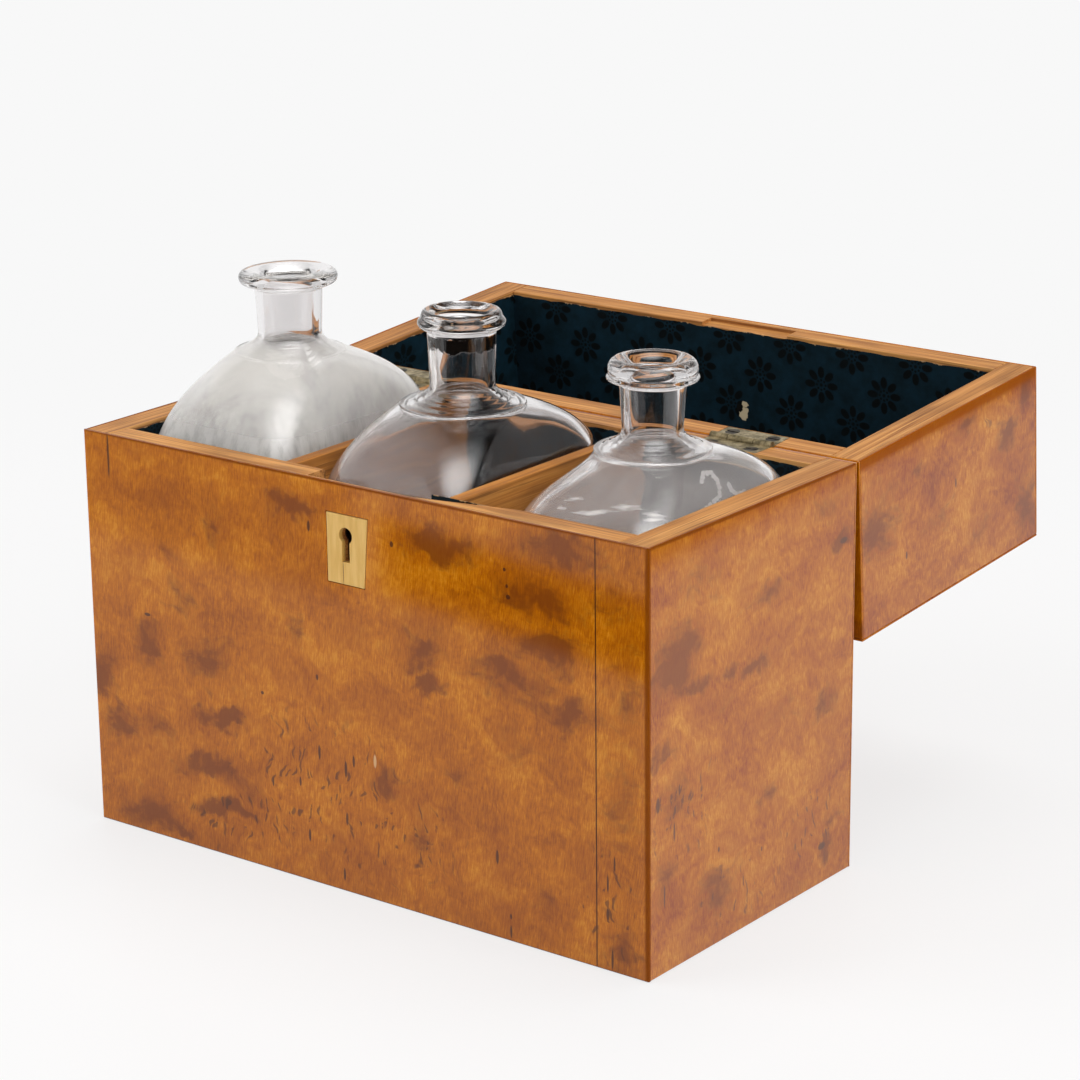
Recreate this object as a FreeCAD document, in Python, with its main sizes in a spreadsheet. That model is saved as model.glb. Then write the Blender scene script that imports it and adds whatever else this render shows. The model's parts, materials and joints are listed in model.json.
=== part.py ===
import FreeCAD
import Part
import Sketcher
import os
import re

# Liquor box: veneered case with three bottle bays, a lid on two butt hinges, a link lock
# and three blown bottles. Millimetres, +Z up, origin at the middle of the case's underside.
# The lid stands open, as it does when the bottles are in use.

doc = FreeCAD.newDocument("LiquorBox")
Vector = FreeCAD.Vector

sizes = {
    # case and lid, outside
    "box_width": 270.0,
    "box_depth": 133.0,
    "case_height": 162.0,
    "lid_height": 72.5,
    "lid_open": 176.0,
    # boards, veneer and paper
    "veneer": 1.0,
    "side_wall": 12.0,
    "long_wall": 10.5,
    "base_thick": 9.0,
    "lid_top": 8.0,
    "paper": 0.3,
    "paper_drop": 1.2,
    "veneer_lift": 0.4,
    "veneer_round_share": 0.5,
    "strip_width": 23.0,
    "strip_seam": 0.15,
    "rim_gap": 0.3,
    # bottle bays
    "middle_bay": 75.0,
    "divider_thick": 5.5,
    "divider_drop": 1.0,
    # bone key plate and keyhole
    "key_plate_left": -11.0,
    "key_plate_top_width": 19.7,
    "key_plate_foot_width": 17.6,
    "key_plate_drop": 11.8,
    "key_plate_height": 26.8,
    "key_plate_thick": 2.0,
    "key_plate_proud": 0.1,
    "glue_line": 0.3,
    "keyhole_in": 9.0,
    "keyhole_below": 8.0,
    "keyhole_round": 6.2,
    "keyhole_slot": 3.6,
    "keyhole_drop": 10.2,
    "keyhole_ease": 0.6,
    # lock in its mortise, and the bare strike recess in the lid
    "lock_before_key": 19.0,
    "lock_width": 50.5,
    "lock_height": 34.0,
    "lock_drop": 6.0,
    "lock_sheet": 1.5,
    "lock_margin": 7.0,
    "lock_box_depth": 6.2,
    "lock_box_wall": 1.0,
    "lock_lip": 0.8,
    "lock_fit": 0.3,
    "link_slot_length": 7.0,
    "link_slot_width": 3.4,
    "link_slot_reach": 10.0,
    "bolt_length": 26.0,
    "bolt_bar": 4.0,
    "bolt_thick": 3.0,
    "bolt_rise": 2.4,
    "bolt_hook": 2.6,
    "bolt_travel": 6.0,
    "key_post": 2.2,
    "key_post_length": 4.4,
    "lock_spring_thick": 0.6,
    "lock_spring_width": 3.0,
    "lock_spring_run": 9.0,
    "lock_screw_head": 3.8,
    "lock_screw_shank": 1.8,
    "lock_screw_length": 7.0,
    "lock_screw_inset": 3.4,
    "lock_screw_rise": 6.0,
    "strike_in": 0.7,
    "strike_width": 43.3,
    "strike_deep": 1.4,
    "strike_lip": 3.2,
    "rim_break": 42.0,
    "rim_break_deep": 3.0,
    # butt hinges
    "hinge_inset": 52.2,
    "hinge_length": 28.0,
    "hinge_reach": 0.6,
    "hinge_middle": 11.5,
    "hinge_end_gap": 0.25,
    "leaf_short": 0.5,
    "leaf_thick": 1.2,
    "leaf_fit": 0.3,
    "knuckle": 3.4,
    "knuckle_fit": 0.3,
    "hinge_pin": 1.8,
    "pin_fit": 0.03,
    "hinge_screw_head": 5.8,
    "hinge_screw_shank": 2.6,
    "hinge_screw_length": 9.0,
    "hinge_screw_spread": 18.6,
    "hinge_screw_back": 7.5,
    "screw_slot": 0.8,
    # blown bottles: shared glass sizes
    "glass_wall": 2.6,
    "glass_floor": 6.0,
    "glass_corner": 13.0,
    "glass_corner_swell": 6.0,
    "glass_foot_round": 3.0,
    "bottle_seat": 0.2,
    "mouth_round": 1.2,
    "lip_round_share": 0.45,
    # left bottle
    "left_nudge": -0.65,
    "left_back": -3.0,
    "left_play": 5.9,
    "left_slack": 10.4,
    "left_neck_tall": 27.4,
    "left_shoulder_tall": 48.2,
    "left_headroom": 4.9,
    "left_neck": 24.8,
    "left_neck_top": 26.8,
    "left_lip": 39.0,
    "left_lip_tall": 5.2,
    "left_bore": 19.6,
    "left_full_wide": 3.0,
    "left_full_deep": 4.6,
    "left_flare": 1.0,
    # middle bottle
    "middle_nudge": 0.0,
    "middle_back": 1.0,
    "middle_play": 2.2,
    "middle_slack": 10.8,
    "middle_neck_tall": 28.0,
    "middle_shoulder_tall": 47.2,
    "middle_headroom": 10.3,
    "middle_neck": 24.8,
    "middle_neck_top": 26.4,
    "middle_lip": 33.0,
    "middle_lip_tall": 6.0,
    "middle_bore": 19.6,
    "middle_full_wide": 3.0,
    "middle_full_deep": 4.6,
    "middle_flare": 1.15,
    # right bottle
    "right_nudge": 2.95,
    "right_back": 5.5,
    "right_play": 7.9,
    "right_slack": 13.4,
    "right_neck_tall": 26.6,
    "right_shoulder_tall": 46.2,
    "right_headroom": 17.7,
    "right_neck": 22.6,
    "right_neck_top": 25.0,
    "right_lip": 34.4,
    "right_lip_tall": 6.2,
    "right_bore": 17.6,
    "right_full_wide": 2.1,
    "right_full_deep": 3.5,
    "right_flare": 1.2,
}

sheet = doc.addObject("Spreadsheet::Sheet", "Sizes")
for row, (word, value) in enumerate(sizes.items(), 1):
    sheet.set("A%d" % row, word)
    sheet.set("B%d" % row, str(value))
    sheet.setAlias("B%d" % row, word)
doc.recompute()

# Places and sizes that several pieces share, worked out from the sheet's words
places = {
    "carcass_x": "box_width/2 - veneer",
    "carcass_y": "box_depth/2 - veneer",
    "room_x": "carcass_x - side_wall",
    "room_y": "carcass_y - long_wall",
    "seam_x": "box_width/2 - strip_width",
    "paper_top": "case_height - paper_drop",
    # the bays, and the height from the bays' floor to the ceiling of the closed lid
    "side_bay": "room_x - paper - divider_thick - middle_bay/2",
    "side_bay_centre": "room_x - paper - side_bay/2",
    "bay_depth": "2*(room_y - paper)",
    "bay_height": "hinge_z + lid_ceiling - base_thick",
    # the lid, measured from the hinge axis as it lies closed
    "lid_back": "-hinge_reach - veneer",
    "lid_front": "-hinge_reach - box_depth + veneer",
    "lid_inner_back": "lid_back - long_wall",
    "lid_inner_front": "lid_front + long_wall",
    "lid_rim": "rim_gap/2",
    "lid_board_top": "lid_rim + lid_height - veneer",
    "lid_rail_top": "lid_board_top - lid_top",
    "lid_ceiling": "lid_rail_top - paper",
    "paper_foot": "lid_rim + paper_drop",
    # the hinges
    "hinge_y": "box_depth/2 + hinge_reach",
    "hinge_z": "case_height + rim_gap/2",
    "hinge_place": "box_width/2 - hinge_inset",
    "leaf_width": "hinge_reach + veneer + long_wall - leaf_short",
    # the key plate and the keyhole
    "key_plate_top": "case_height - key_plate_drop",
    "key_plate_foot": "key_plate_top - key_plate_height",
    "plate_back": "-box_depth/2 - key_plate_proud + key_plate_thick",
    "keyhole_x": "key_plate_left + keyhole_in",
    "keyhole_z": "key_plate_top - keyhole_below",
    # the lock, set about the keyhole
    "lock_left": "keyhole_x - lock_before_key",
    "lock_right": "lock_left + lock_width",
    "lock_top": "case_height - lock_drop",
    "lock_foot": "lock_top - lock_height",
    "lock_face": "-carcass_y + long_wall",
    "box_left": "lock_left + lock_margin",
    "box_right": "lock_right - lock_margin",
    "box_foot": "lock_foot + lock_margin/2",
    "box_top": "lock_top - lock_sheet",
    "box_back": "lock_face - lock_sheet",
    "box_front": "box_back - lock_box_depth",
    "bolt_left": "box_left + lock_box_wall + lock_fit",
    "bolt_foot": "keyhole_z + key_post/2 + bolt_rise",
    "bolt_back": "box_back - lock_fit",
    "spring_foot": "box_foot + lock_box_wall",
    "spring_left": "box_right - lock_box_wall - lock_fit - lock_spring_run",
    "strike_left": "lock_left + strike_in",
    # the bottles: each stands in its bay with some play, under the closed lid
    "left_across": "-side_bay_centre + left_nudge",
    "left_width": "side_bay - left_play",
    "left_depth": "bay_depth - left_slack",
    "left_tall": "bay_height - bottle_seat - left_headroom",
    "left_neck_foot": "left_tall - left_neck_tall",
    "left_shoulder": "left_neck_foot - left_shoulder_tall",
    "middle_across": "middle_nudge",
    "middle_width": "middle_bay - middle_play",
    "middle_depth": "bay_depth - middle_slack",
    "middle_tall": "bay_height - bottle_seat - middle_headroom",
    "middle_neck_foot": "middle_tall - middle_neck_tall",
    "middle_shoulder": "middle_neck_foot - middle_shoulder_tall",
    "right_across": "side_bay_centre + right_nudge",
    "right_width": "side_bay - right_play",
    "right_depth": "bay_depth - right_slack",
    "right_tall": "bay_height - bottle_seat - right_headroom",
    "right_neck_foot": "right_tall - right_neck_tall",
    "right_shoulder": "right_neck_foot - right_shoulder_tall",
}

subparts = []
# edges closer than this to where they are looked for are the ones meant
same_place = 0.01


def cell(text):
    # turn the words in an expression into references to the sheet's cells
    def reference(match):
        word = match.group()
        if word in places:
            return "(%s)" % cell(places[word])
        return "Sizes." + word if word in sizes else word
    return re.sub(r"[a-z]+(?:_[a-z]+)*", reference, text)


def new_body(label, where="case"):
    body = doc.addObject("PartDesign::Body", label)
    body.Label = label
    if where == "lid":
        hang_on_hinges(body)
    subparts.append(body)
    return body


def hang_on_hinges(piece):
    # lid pieces are drawn closed, from the hinge axis, then swung open about it
    piece.Placement = FreeCAD.Placement(Vector(0, 0, 0), FreeCAD.Rotation(Vector(-1, 0, 0), 90))
    piece.setExpression("Placement.Base.y", cell("hinge_y"))
    piece.setExpression("Placement.Base.z", cell("hinge_z"))
    piece.setExpression("Placement.Rotation.Angle", cell("lid_open"))


def attach(feature, body, axis, start):
    # put a feature on the body's own plane that faces along the axis; y features run towards -Y
    x, y, z = start
    role, offset = {
        "x": ("YZ_Plane", (y, z, x)),
        "y": ("XZ_Plane", (x, z, "-(%s)" % y)),
        "z": ("XY_Plane", (x, y, z)),
    }[axis]
    plane = next(f for f in body.Origin.OriginFeatures if f.Role == role)
    feature.AttachmentSupport = [(plane, "")]
    feature.MapMode = "FlatFace"
    for letter, place in zip("xyz", offset):
        feature.setExpression("AttachmentOffset.Base." + letter, cell(place))


def block(body, kind, low, high):
    box = body.newObject("PartDesign::%sBox" % kind, body.Name + "_block")
    attach(box, body, "z", low)
    for side, near, far in zip(("Length", "Width", "Height"), low, high):
        box.setExpression(side, cell("(%s) - (%s)" % (far, near)))
    return box


def rod(body, kind, axis, start, diameter, length):
    cylinder = body.newObject("PartDesign::%sCylinder" % kind, body.Name + "_rod")
    attach(cylinder, body, axis, start)
    cylinder.setExpression("Radius", cell("(%s)/2" % diameter))
    cylinder.setExpression("Height", cell(length))
    return cylinder


def cone(body, kind, axis, start, near_diameter, far_diameter, length):
    taper = body.newObject("PartDesign::%sCone" % kind, body.Name + "_cone")
    attach(taper, body, axis, start)
    taper.setExpression("Radius1", cell("(%s)/2" % near_diameter))
    taper.setExpression("Radius2", cell("(%s)/2" % far_diameter))
    taper.setExpression("Height", cell(length))
    return taper


def outline(body, axis, start, corners):
    # a closed sketch of straight sides, each corner placed from the sketch's origin
    sketch = body.newObject("Sketcher::SketchObject", body.Name + "_outline")
    attach(sketch, body, axis, start)
    guess = [Vector(0, 0, 0), Vector(10, 0, 0), Vector(10, 10, 0), Vector(0, 10, 0)][:len(corners)]
    last = len(corners)
    for i in range(last):
        sketch.addGeometry(Part.LineSegment(guess[i], guess[(i + 1) % last]), False)
    for i in range(last):
        sketch.addConstraint(Sketcher.Constraint("Coincident", i, 2, (i + 1) % last, 1))
    for i, corner in enumerate(corners):
        for way, place in zip(("DistanceX", "DistanceY"), corner):
            number = sketch.addConstraint(Sketcher.Constraint(way, -1, 1, i, 1, 1.0))
            sketch.setExpression("Constraints[%d]" % number, cell(place))
    return sketch


def pad(body, sketch, length):
    feature = body.newObject("PartDesign::Pad", body.Name + "_pad")
    feature.Profile = sketch
    feature.setExpression("Length", cell(length))
    return feature


def pocket(body, sketch, length):
    # cuts from the sketch against its normal: down from above, inwards from the front
    feature = body.newObject("PartDesign::Pocket", body.Name + "_pocket")
    feature.Profile = sketch
    feature.setExpression("Length", cell(length))
    return feature


def fillet(body, radius, wanted):
    doc.recompute()
    base = body.Tip
    names = ["Edge%d" % (i + 1) for i, edge in enumerate(body.Shape.Edges) if wanted(edge)]
    feature = body.newObject("PartDesign::Fillet", body.Name + "_fillet")
    feature.Base = (base, names)
    feature.setExpression("Radius", cell(radius))
    body.Tip = feature
    return feature


def board(label, low, high, where="case"):
    body = new_body(label, where)
    block(body, "Additive", low, high)
    return body


def round_corners(body, face_y):
    # ease the upright edges of a veneer sheet where it turns the corner of the box
    def at_corner(edge):
        box = edge.BoundBox
        off_end = abs(abs(box.Center.x) - sizes["box_width"] / 2)
        off_face = abs(box.Center.y - face_y)
        upright_edge = box.XLength + box.YLength < same_place
        return upright_edge and max(off_end, off_face) < sizes["veneer"] / 4
    return fillet(body, "veneer*veneer_round_share", at_corner)


# Case boards
board("base_board", ("-carcass_x", "-carcass_y", "0"), ("carcass_x", "carcass_y", "base_thick"))
board("left_wall", ("-carcass_x", "-carcass_y", "base_thick"), ("-room_x", "carcass_y", "case_height"))
board("right_wall", ("room_x", "-carcass_y", "base_thick"), ("carcass_x", "carcass_y", "case_height"))
front_wall = board(
    "front_wall",
    ("-room_x", "-carcass_y", "base_thick"),
    ("room_x", "-room_y", "case_height"),
)
back_wall = board(
    "back_wall",
    ("-room_x", "room_y", "base_thick"),
    ("room_x", "carcass_y", "case_height"),
)

# Case veneers, which stop just above the surface that the box stands on
front_veneer = board(
    "front_veneer",
    ("-box_width/2", "-box_depth/2", "veneer_lift"),
    ("seam_x", "-carcass_y", "case_height"),
)
front_veneer_strip = board(
    "front_veneer_strip",
    ("seam_x + strip_seam", "-box_depth/2", "veneer_lift"),
    ("box_width/2", "-carcass_y", "case_height"),
)
back_veneer = board(
    "back_veneer",
    ("-box_width/2", "carcass_y", "veneer_lift"),
    ("box_width/2", "box_depth/2", "case_height"),
)
board(
    "left_veneer",
    ("-box_width/2", "-carcass_y", "veneer_lift"),
    ("-carcass_x", "carcass_y", "case_height"),
)
board(
    "right_veneer",
    ("carcass_x", "-carcass_y", "veneer_lift"),
    ("box_width/2", "carcass_y", "case_height"),
)

# Paper linings and the two dividers between the bottle bays
lining_front = board(
    "lining_front",
    ("-room_x", "-room_y", "base_thick"),
    ("room_x", "-room_y + paper", "paper_top"),
)
board("lining_back", ("-room_x", "room_y - paper", "base_thick"), ("room_x", "room_y", "paper_top"))
for label, near, far in (
    ("lining_left", "-room_x", "-room_x + paper"),
    ("lining_right", "room_x - paper", "room_x"),
):
    board(label, (near, "-room_y + paper", "base_thick"), (far, "room_y - paper", "paper_top"))
for label, near, far in (
    ("divider_left", "-middle_bay/2 - divider_thick", "-middle_bay/2"),
    ("divider_right", "middle_bay/2", "middle_bay/2 + divider_thick"),
):
    board(
        label,
        (near, "-room_y + paper", "base_thick"),
        (far, "room_y - paper", "case_height - divider_drop"),
    )


# Bone key plate, a little narrower at its foot, and the keyhole behind it
def key_plate_corners(grow):
    left = "key_plate_left - %s" % grow
    top = "key_plate_top + %s" % grow
    foot = "key_plate_foot - %s" % grow
    return (
        (left, foot),
        ("key_plate_left + key_plate_foot_width + %s" % grow, foot),
        ("key_plate_left + key_plate_top_width + %s" % grow, top),
        (left, top),
    )


def cut_keyhole(body, front, back, ease="0"):
    rod(body, "Subtractive", "y", ("keyhole_x", back, "keyhole_z"), "keyhole_round + 2*%s" % ease,
        "(%s) - (%s)" % (back, front))
    block(
        body, "Subtractive",
        ("keyhole_x - keyhole_slot/2 - %s" % ease, front, "keyhole_z - keyhole_drop - %s" % ease),
        ("keyhole_x + keyhole_slot/2 + %s" % ease, back, "keyhole_z"),
    )


escutcheon = new_body("escutcheon")
pad(escutcheon, outline(escutcheon, "y", ("0", "plate_back", "0"), key_plate_corners("0")), "key_plate_thick")
cut_keyhole(escutcheon, "-box_depth/2 - key_plate_proud", "plate_back")

plate_bed = outline(front_veneer, "y", ("0", "-box_depth/2", "0"), key_plate_corners("glue_line"))
pocket(front_veneer, plate_bed, "veneer")
wall_bed = outline(front_wall, "y", ("0", "-carcass_y", "0"), key_plate_corners("glue_line"))
pocket(front_wall, wall_bed, "key_plate_thick - key_plate_proud - veneer")
cut_keyhole(front_wall, "-carcass_y", "box_front")

# Lock mortise: the rim notch over the lock, the bed of its plate and the pocket for its box
block(
    front_wall, "Subtractive",
    ("lock_left - lock_fit", "-carcass_y + lock_lip", "lock_top - lock_sheet"),
    ("lock_right + lock_fit", "lock_face", "case_height"),
)
block(
    front_wall, "Subtractive",
    ("lock_left - lock_fit", "lock_face - lock_sheet", "lock_foot - lock_fit"),
    ("lock_right + lock_fit", "lock_face", "lock_top"),
)
block(
    front_wall, "Subtractive",
    ("box_left - lock_fit", "box_front - lock_fit", "box_foot - lock_fit"),
    ("box_right + lock_fit", "lock_face", "lock_top"),
)
block(
    lining_front, "Subtractive",
    ("lock_left - lock_fit", "lock_face", "lock_foot - lock_fit"),
    ("lock_right + lock_fit", "lock_face + paper", "case_height"),
)

# The inner edge of the rim is broken away in a long wedge beside the lock
broken_rim = outline(front_wall, "z", ("0", "0", "case_height"), (
    ("lock_right", "-carcass_y + lock_lip"),
    ("lock_right + rim_break", "lock_face"),
    ("lock_right", "lock_face"),
))
pocket(front_wall, broken_rim, "rim_break_deep")

# Lock: plate with its folded selvedge, box, key post, spring and sliding bolt
lock_plate = board(
    "lock_plate",
    ("lock_left", "lock_face - lock_sheet", "lock_foot"),
    ("lock_right", "lock_face", "lock_top"),
)
block(
    lock_plate, "Additive",
    ("lock_left", "-carcass_y + lock_lip + lock_fit", "lock_top - lock_sheet"),
    ("lock_right", "lock_face", "lock_top"),
)
for way in ("-", "+"):
    middle = "lock_left + lock_width/2 %s link_slot_reach" % way
    block(
        lock_plate, "Subtractive",
        (middle + " - link_slot_length/2", "box_back - lock_fit - link_slot_width", "lock_top - lock_sheet"),
        (middle + " + link_slot_length/2", "box_back - lock_fit", "lock_top"),
    )

lock_case = board("lock_case", ("box_left", "box_front", "box_foot"), ("box_right", "box_back", "box_top"))
block(
    lock_case, "Subtractive",
    ("box_left + lock_box_wall", "box_front + lock_box_wall", "box_foot + lock_box_wall"),
    ("box_right - lock_box_wall", "box_back", "box_top"),
)
cut_keyhole(lock_case, "box_front", "box_front + lock_box_wall", "keyhole_ease")

lock_key_post = new_body("lock_key_post")
rod(lock_key_post, "Additive", "y", ("keyhole_x", "box_back", "keyhole_z"), "key_post", "key_post_length")

lock_bolt = board(
    "lock_bolt",
    ("bolt_left", "bolt_back - bolt_thick", "bolt_foot"),
    ("bolt_left + bolt_length", "bolt_back", "bolt_foot + bolt_bar"),
)
for way in ("-", "+"):
    # each hook waits at the left end of its link slot and crosses it when the bolt is thrown
    hook_left = "(lock_left + lock_width/2 %s link_slot_reach - link_slot_length/2 - lock_fit)" % way
    block(
        lock_bolt, "Additive",
        (hook_left, "bolt_back - bolt_thick", "bolt_foot + bolt_bar/2"),
        (hook_left + " + bolt_hook", "bolt_back", "bolt_foot + bolt_bar + bolt_hook"),
    )
    block(
        lock_bolt, "Additive",
        (hook_left + " + bolt_hook/2", "bolt_back - bolt_thick", "bolt_foot + bolt_bar + bolt_hook/2"),
        (hook_left + " + bolt_hook*1.5", "bolt_back", "bolt_foot + bolt_bar + bolt_hook"),
    )
block(
    lock_bolt, "Subtractive",
    ("keyhole_x - key_post", "bolt_back - bolt_thick", "bolt_foot"),
    ("keyhole_x + key_post", "bolt_back", "bolt_foot + bolt_bar/3"),
)

lock_spring = new_body("lock_spring")
spring_leaf = outline(lock_spring, "y", ("0", "bolt_back", "0"), (
    ("spring_left + lock_spring_run", "spring_foot"),
    ("spring_left + lock_spring_run - lock_spring_thick", "spring_foot"),
    ("spring_left", "bolt_foot - lock_fit"),
    ("spring_left + lock_spring_thick", "bolt_foot - lock_fit"),
))
pad(lock_spring, spring_leaf, "lock_spring_width")

# Bare strike recess in the front rim of the lid
lid_front_rail = board(
    "lid_front_rail",
    ("-room_x", "lid_front", "lid_rim"),
    ("room_x", "lid_front + long_wall", "lid_rail_top"),
    "lid",
)
block(
    lid_front_rail, "Subtractive",
    ("strike_left", "lid_front + strike_lip", "lid_rim"),
    ("strike_left + strike_width", "lid_front + long_wall", "lid_rim + strike_deep"),
)

# Lid boards
lid_back_rail = board(
    "lid_back_rail",
    ("-room_x", "lid_back - long_wall", "lid_rim"),
    ("room_x", "lid_back", "lid_rail_top"),
    "lid",
)
for label, near, far in (
    ("lid_left_rail", "-carcass_x", "-room_x"),
    ("lid_right_rail", "room_x", "carcass_x"),
):
    board(label, (near, "lid_front", "lid_rim"), (far, "lid_back", "lid_rail_top"), "lid")
board(
    "lid_top_panel",
    ("-carcass_x", "lid_front", "lid_rail_top"),
    ("carcass_x", "lid_back", "lid_board_top"),
    "lid",
)

# Lid veneers
lid_front_veneer = board(
    "lid_front_veneer",
    ("-box_width/2", "lid_front - veneer", "lid_rim"),
    ("box_width/2", "lid_front", "lid_board_top"),
    "lid",
)
lid_back_veneer = board(
    "lid_back_veneer",
    ("-box_width/2", "lid_back", "lid_rim"),
    ("box_width/2", "lid_back + veneer", "lid_board_top"),
    "lid",
)
for label, near, far in (
    ("lid_left_veneer", "-box_width/2", "-carcass_x"),
    ("lid_right_veneer", "carcass_x", "box_width/2"),
):
    board(label, (near, "lid_front", "lid_rim"), (far, "lid_back", "lid_board_top"), "lid")
board(
    "lid_top_veneer",
    ("-box_width/2", "lid_front - veneer", "lid_board_top"),
    ("box_width/2", "lid_back + veneer", "lid_board_top + veneer"),
    "lid",
)

# Lid linings
for label, near, far in (
    ("lid_lining_front", "lid_inner_front", "lid_inner_front + paper"),
    ("lid_lining_back", "lid_inner_back - paper", "lid_inner_back"),
):
    board(label, ("-room_x", near, "paper_foot"), ("room_x", far, "lid_ceiling"), "lid")
for label, near, far in (
    ("lid_lining_left", "-room_x", "-room_x + paper"),
    ("lid_lining_right", "room_x - paper", "room_x"),
):
    board(
        label,
        (near, "lid_inner_front + paper", "paper_foot"),
        (far, "lid_inner_back - paper", "lid_ceiling"),
        "lid",
    )
board(
    "lid_lining_top",
    ("-room_x", "lid_inner_front", "lid_ceiling"),
    ("room_x", "lid_inner_back", "lid_rail_top"),
    "lid",
)


# Butt hinges: outer knuckles on the case leaf, the middle one on the lid leaf
def screw_places(side):
    return ["%s*hinge_place %s hinge_screw_spread/2" % (side, way) for way in ("-", "+")]


def cut_hinge_bed(wood, side, axis_y, axis_z, up):
    # up is 1 where the wood lies above the hinge axis and -1 where it lies below
    centre = "%s*hinge_place" % side
    near = "%s + %d*rim_gap/2" % (axis_z, up)
    leaf_bed = "%s + %d*(rim_gap/2 + leaf_thick)" % (axis_z, up)
    knuckle_bed = "%s + %d*(knuckle/2 + knuckle_fit)" % (axis_z, up)
    half = "(hinge_length/2 + leaf_fit)"
    for depth, inner in ((leaf_bed, "leaf_width + leaf_fit"), (knuckle_bed, "knuckle/2 + knuckle_fit")):
        low, high = (near, depth) if up > 0 else (depth, near)
        block(
            wood, "Subtractive",
            ("%s - %s" % (centre, half), "%s - (%s)" % (axis_y, inner), low),
            ("%s + %s" % (centre, half), axis_y, high),
        )


def drill_screw_holes(wood, side, axis_y, start_z):
    for place in screw_places(side):
        rod(wood, "Subtractive", "z", (place, axis_y + " - hinge_screw_back", start_z),
            "hinge_screw_shank", "hinge_screw_length")


def hinge_leaf(label, side, where):
    leaf = new_body(label, where)
    if where == "case":
        leaf.setExpression("Placement.Base.y", cell("hinge_y"))
        leaf.setExpression("Placement.Base.z", cell("hinge_z"))
    leaf.setExpression("Placement.Base.x", cell("%s*hinge_place" % side))
    low = "rim_gap/2" if where == "lid" else "-rim_gap/2 - leaf_thick"
    high = "rim_gap/2 + leaf_thick" if where == "lid" else "-rim_gap/2"
    block(leaf, "Additive", ("-hinge_length/2", "-leaf_width", low), ("hinge_length/2", "0", high))
    middle = ("-hinge_middle/2", "hinge_middle")
    outer_left = ("-hinge_length/2", "hinge_length/2 - hinge_middle/2 - hinge_end_gap")
    outer_right = ("hinge_middle/2 + hinge_end_gap", "hinge_length/2 - hinge_middle/2 - hinge_end_gap")
    outer = [outer_left, outer_right]
    own, other = ([middle], outer) if where == "lid" else (outer, [middle])
    for start, length in other:
        block(
            leaf, "Subtractive",
            ("%s - hinge_end_gap" % start, "-knuckle/2 - knuckle_fit", low),
            ("%s + %s + hinge_end_gap" % (start, length), "0", high),
        )
    for start, length in own:
        rod(leaf, "Additive", "x", (start, "0", "0"), "knuckle", length)
    rod(leaf, "Subtractive", "x", ("-hinge_length/2", "0", "0"), "hinge_pin + 2*pin_fit", "hinge_length")
    for way in ("-", "+"):
        place = "%shinge_screw_spread/2" % way
        if where == "lid":
            cone(leaf, "Subtractive", "z", (place, "-hinge_screw_back", low),
                 "hinge_screw_head", "hinge_screw_shank", "leaf_thick")
        else:
            cone(leaf, "Subtractive", "z", (place, "-hinge_screw_back", low),
                 "hinge_screw_shank", "hinge_screw_head", "leaf_thick")
    return leaf


for name, side in (("left", "-1"), ("right", "1")):
    hinge_leaf("hinge_%s_case_leaf" % name, side, "case")
    hinge_leaf("hinge_%s_lid_leaf" % name, side, "lid")
    pin = new_body("hinge_%s_pin" % name)
    rod(pin, "Additive", "x", ("%s*hinge_place - hinge_length/2" % side, "hinge_y", "hinge_z"),
        "hinge_pin", "hinge_length")
    for wood in (back_wall, back_veneer):
        cut_hinge_bed(wood, side, "hinge_y", "hinge_z", -1)
    for wood in (lid_back_rail, lid_back_veneer):
        cut_hinge_bed(wood, side, "0", "0", 1)
    drill_screw_holes(back_wall, side, "hinge_y", "case_height - hinge_screw_length")
    drill_screw_holes(lid_back_rail, side, "0", "lid_rim")


# Wood screws: one countersunk, slotted screw of each size, linked into groups
def countersunk_screw(label, head, shank, length, head_depth):
    screw = doc.addObject("PartDesign::Body", label)
    rod(screw, "Additive", "z", ("0", "0", "-(%s)" % length), shank, "(%s) - (%s)" % (length, head_depth))
    cone(screw, "Additive", "z", ("0", "0", "-(%s)" % head_depth), shank, head, head_depth)
    block(
        screw, "Subtractive",
        ("-(%s)/2" % head, "-screw_slot/2", "-(%s)/2" % head_depth),
        ("(%s)/2" % head, "screw_slot/2", "0"),
    )
    return screw


def screw_group(label, screw, places, turn, where="case"):
    links = []
    for place in places:
        link = doc.addObject("App::Link", label + "_screw")
        link.LinkedObject = screw
        link.LinkTransform = False
        link.Placement = FreeCAD.Placement(Vector(0, 0, 0), turn)
        for letter, text in zip("xyz", place):
            link.setExpression("Placement.Base." + letter, cell(text))
        links.append(link)
    group = doc.addObject("Part::Compound", label)
    group.Label = label
    group.Links = links
    if where == "lid":
        hang_on_hinges(group)
    subparts.append(group)
    return group


upright = FreeCAD.Rotation()
upside_down = FreeCAD.Rotation(Vector(1, 0, 0), 180)
facing_back = FreeCAD.Rotation(Vector(1, 0, 0), -90)
hinge_screw = countersunk_screw(
    "hinge_screw", "hinge_screw_head", "hinge_screw_shank", "hinge_screw_length", "leaf_thick"
)
lock_screw = countersunk_screw(
    "lock_screw", "lock_screw_head", "lock_screw_shank", "lock_screw_length", "lock_sheet"
)
hinge_spots = screw_places("-1") + screw_places("1")
screw_group(
    "hinge_case_screws", hinge_screw,
    [(x, "hinge_y - hinge_screw_back", "case_height") for x in hinge_spots], upright,
)
screw_group(
    "hinge_lid_screws", hinge_screw,
    [(x, "-hinge_screw_back", "lid_rim") for x in hinge_spots], upside_down, "lid",
)
lock_spots = [
    (x, "lock_face", z)
    for x in ("lock_left + lock_screw_inset", "lock_right - lock_screw_inset")
    for z in ("lock_foot + lock_screw_rise", "lock_top - lock_screw_rise")
]
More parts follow.
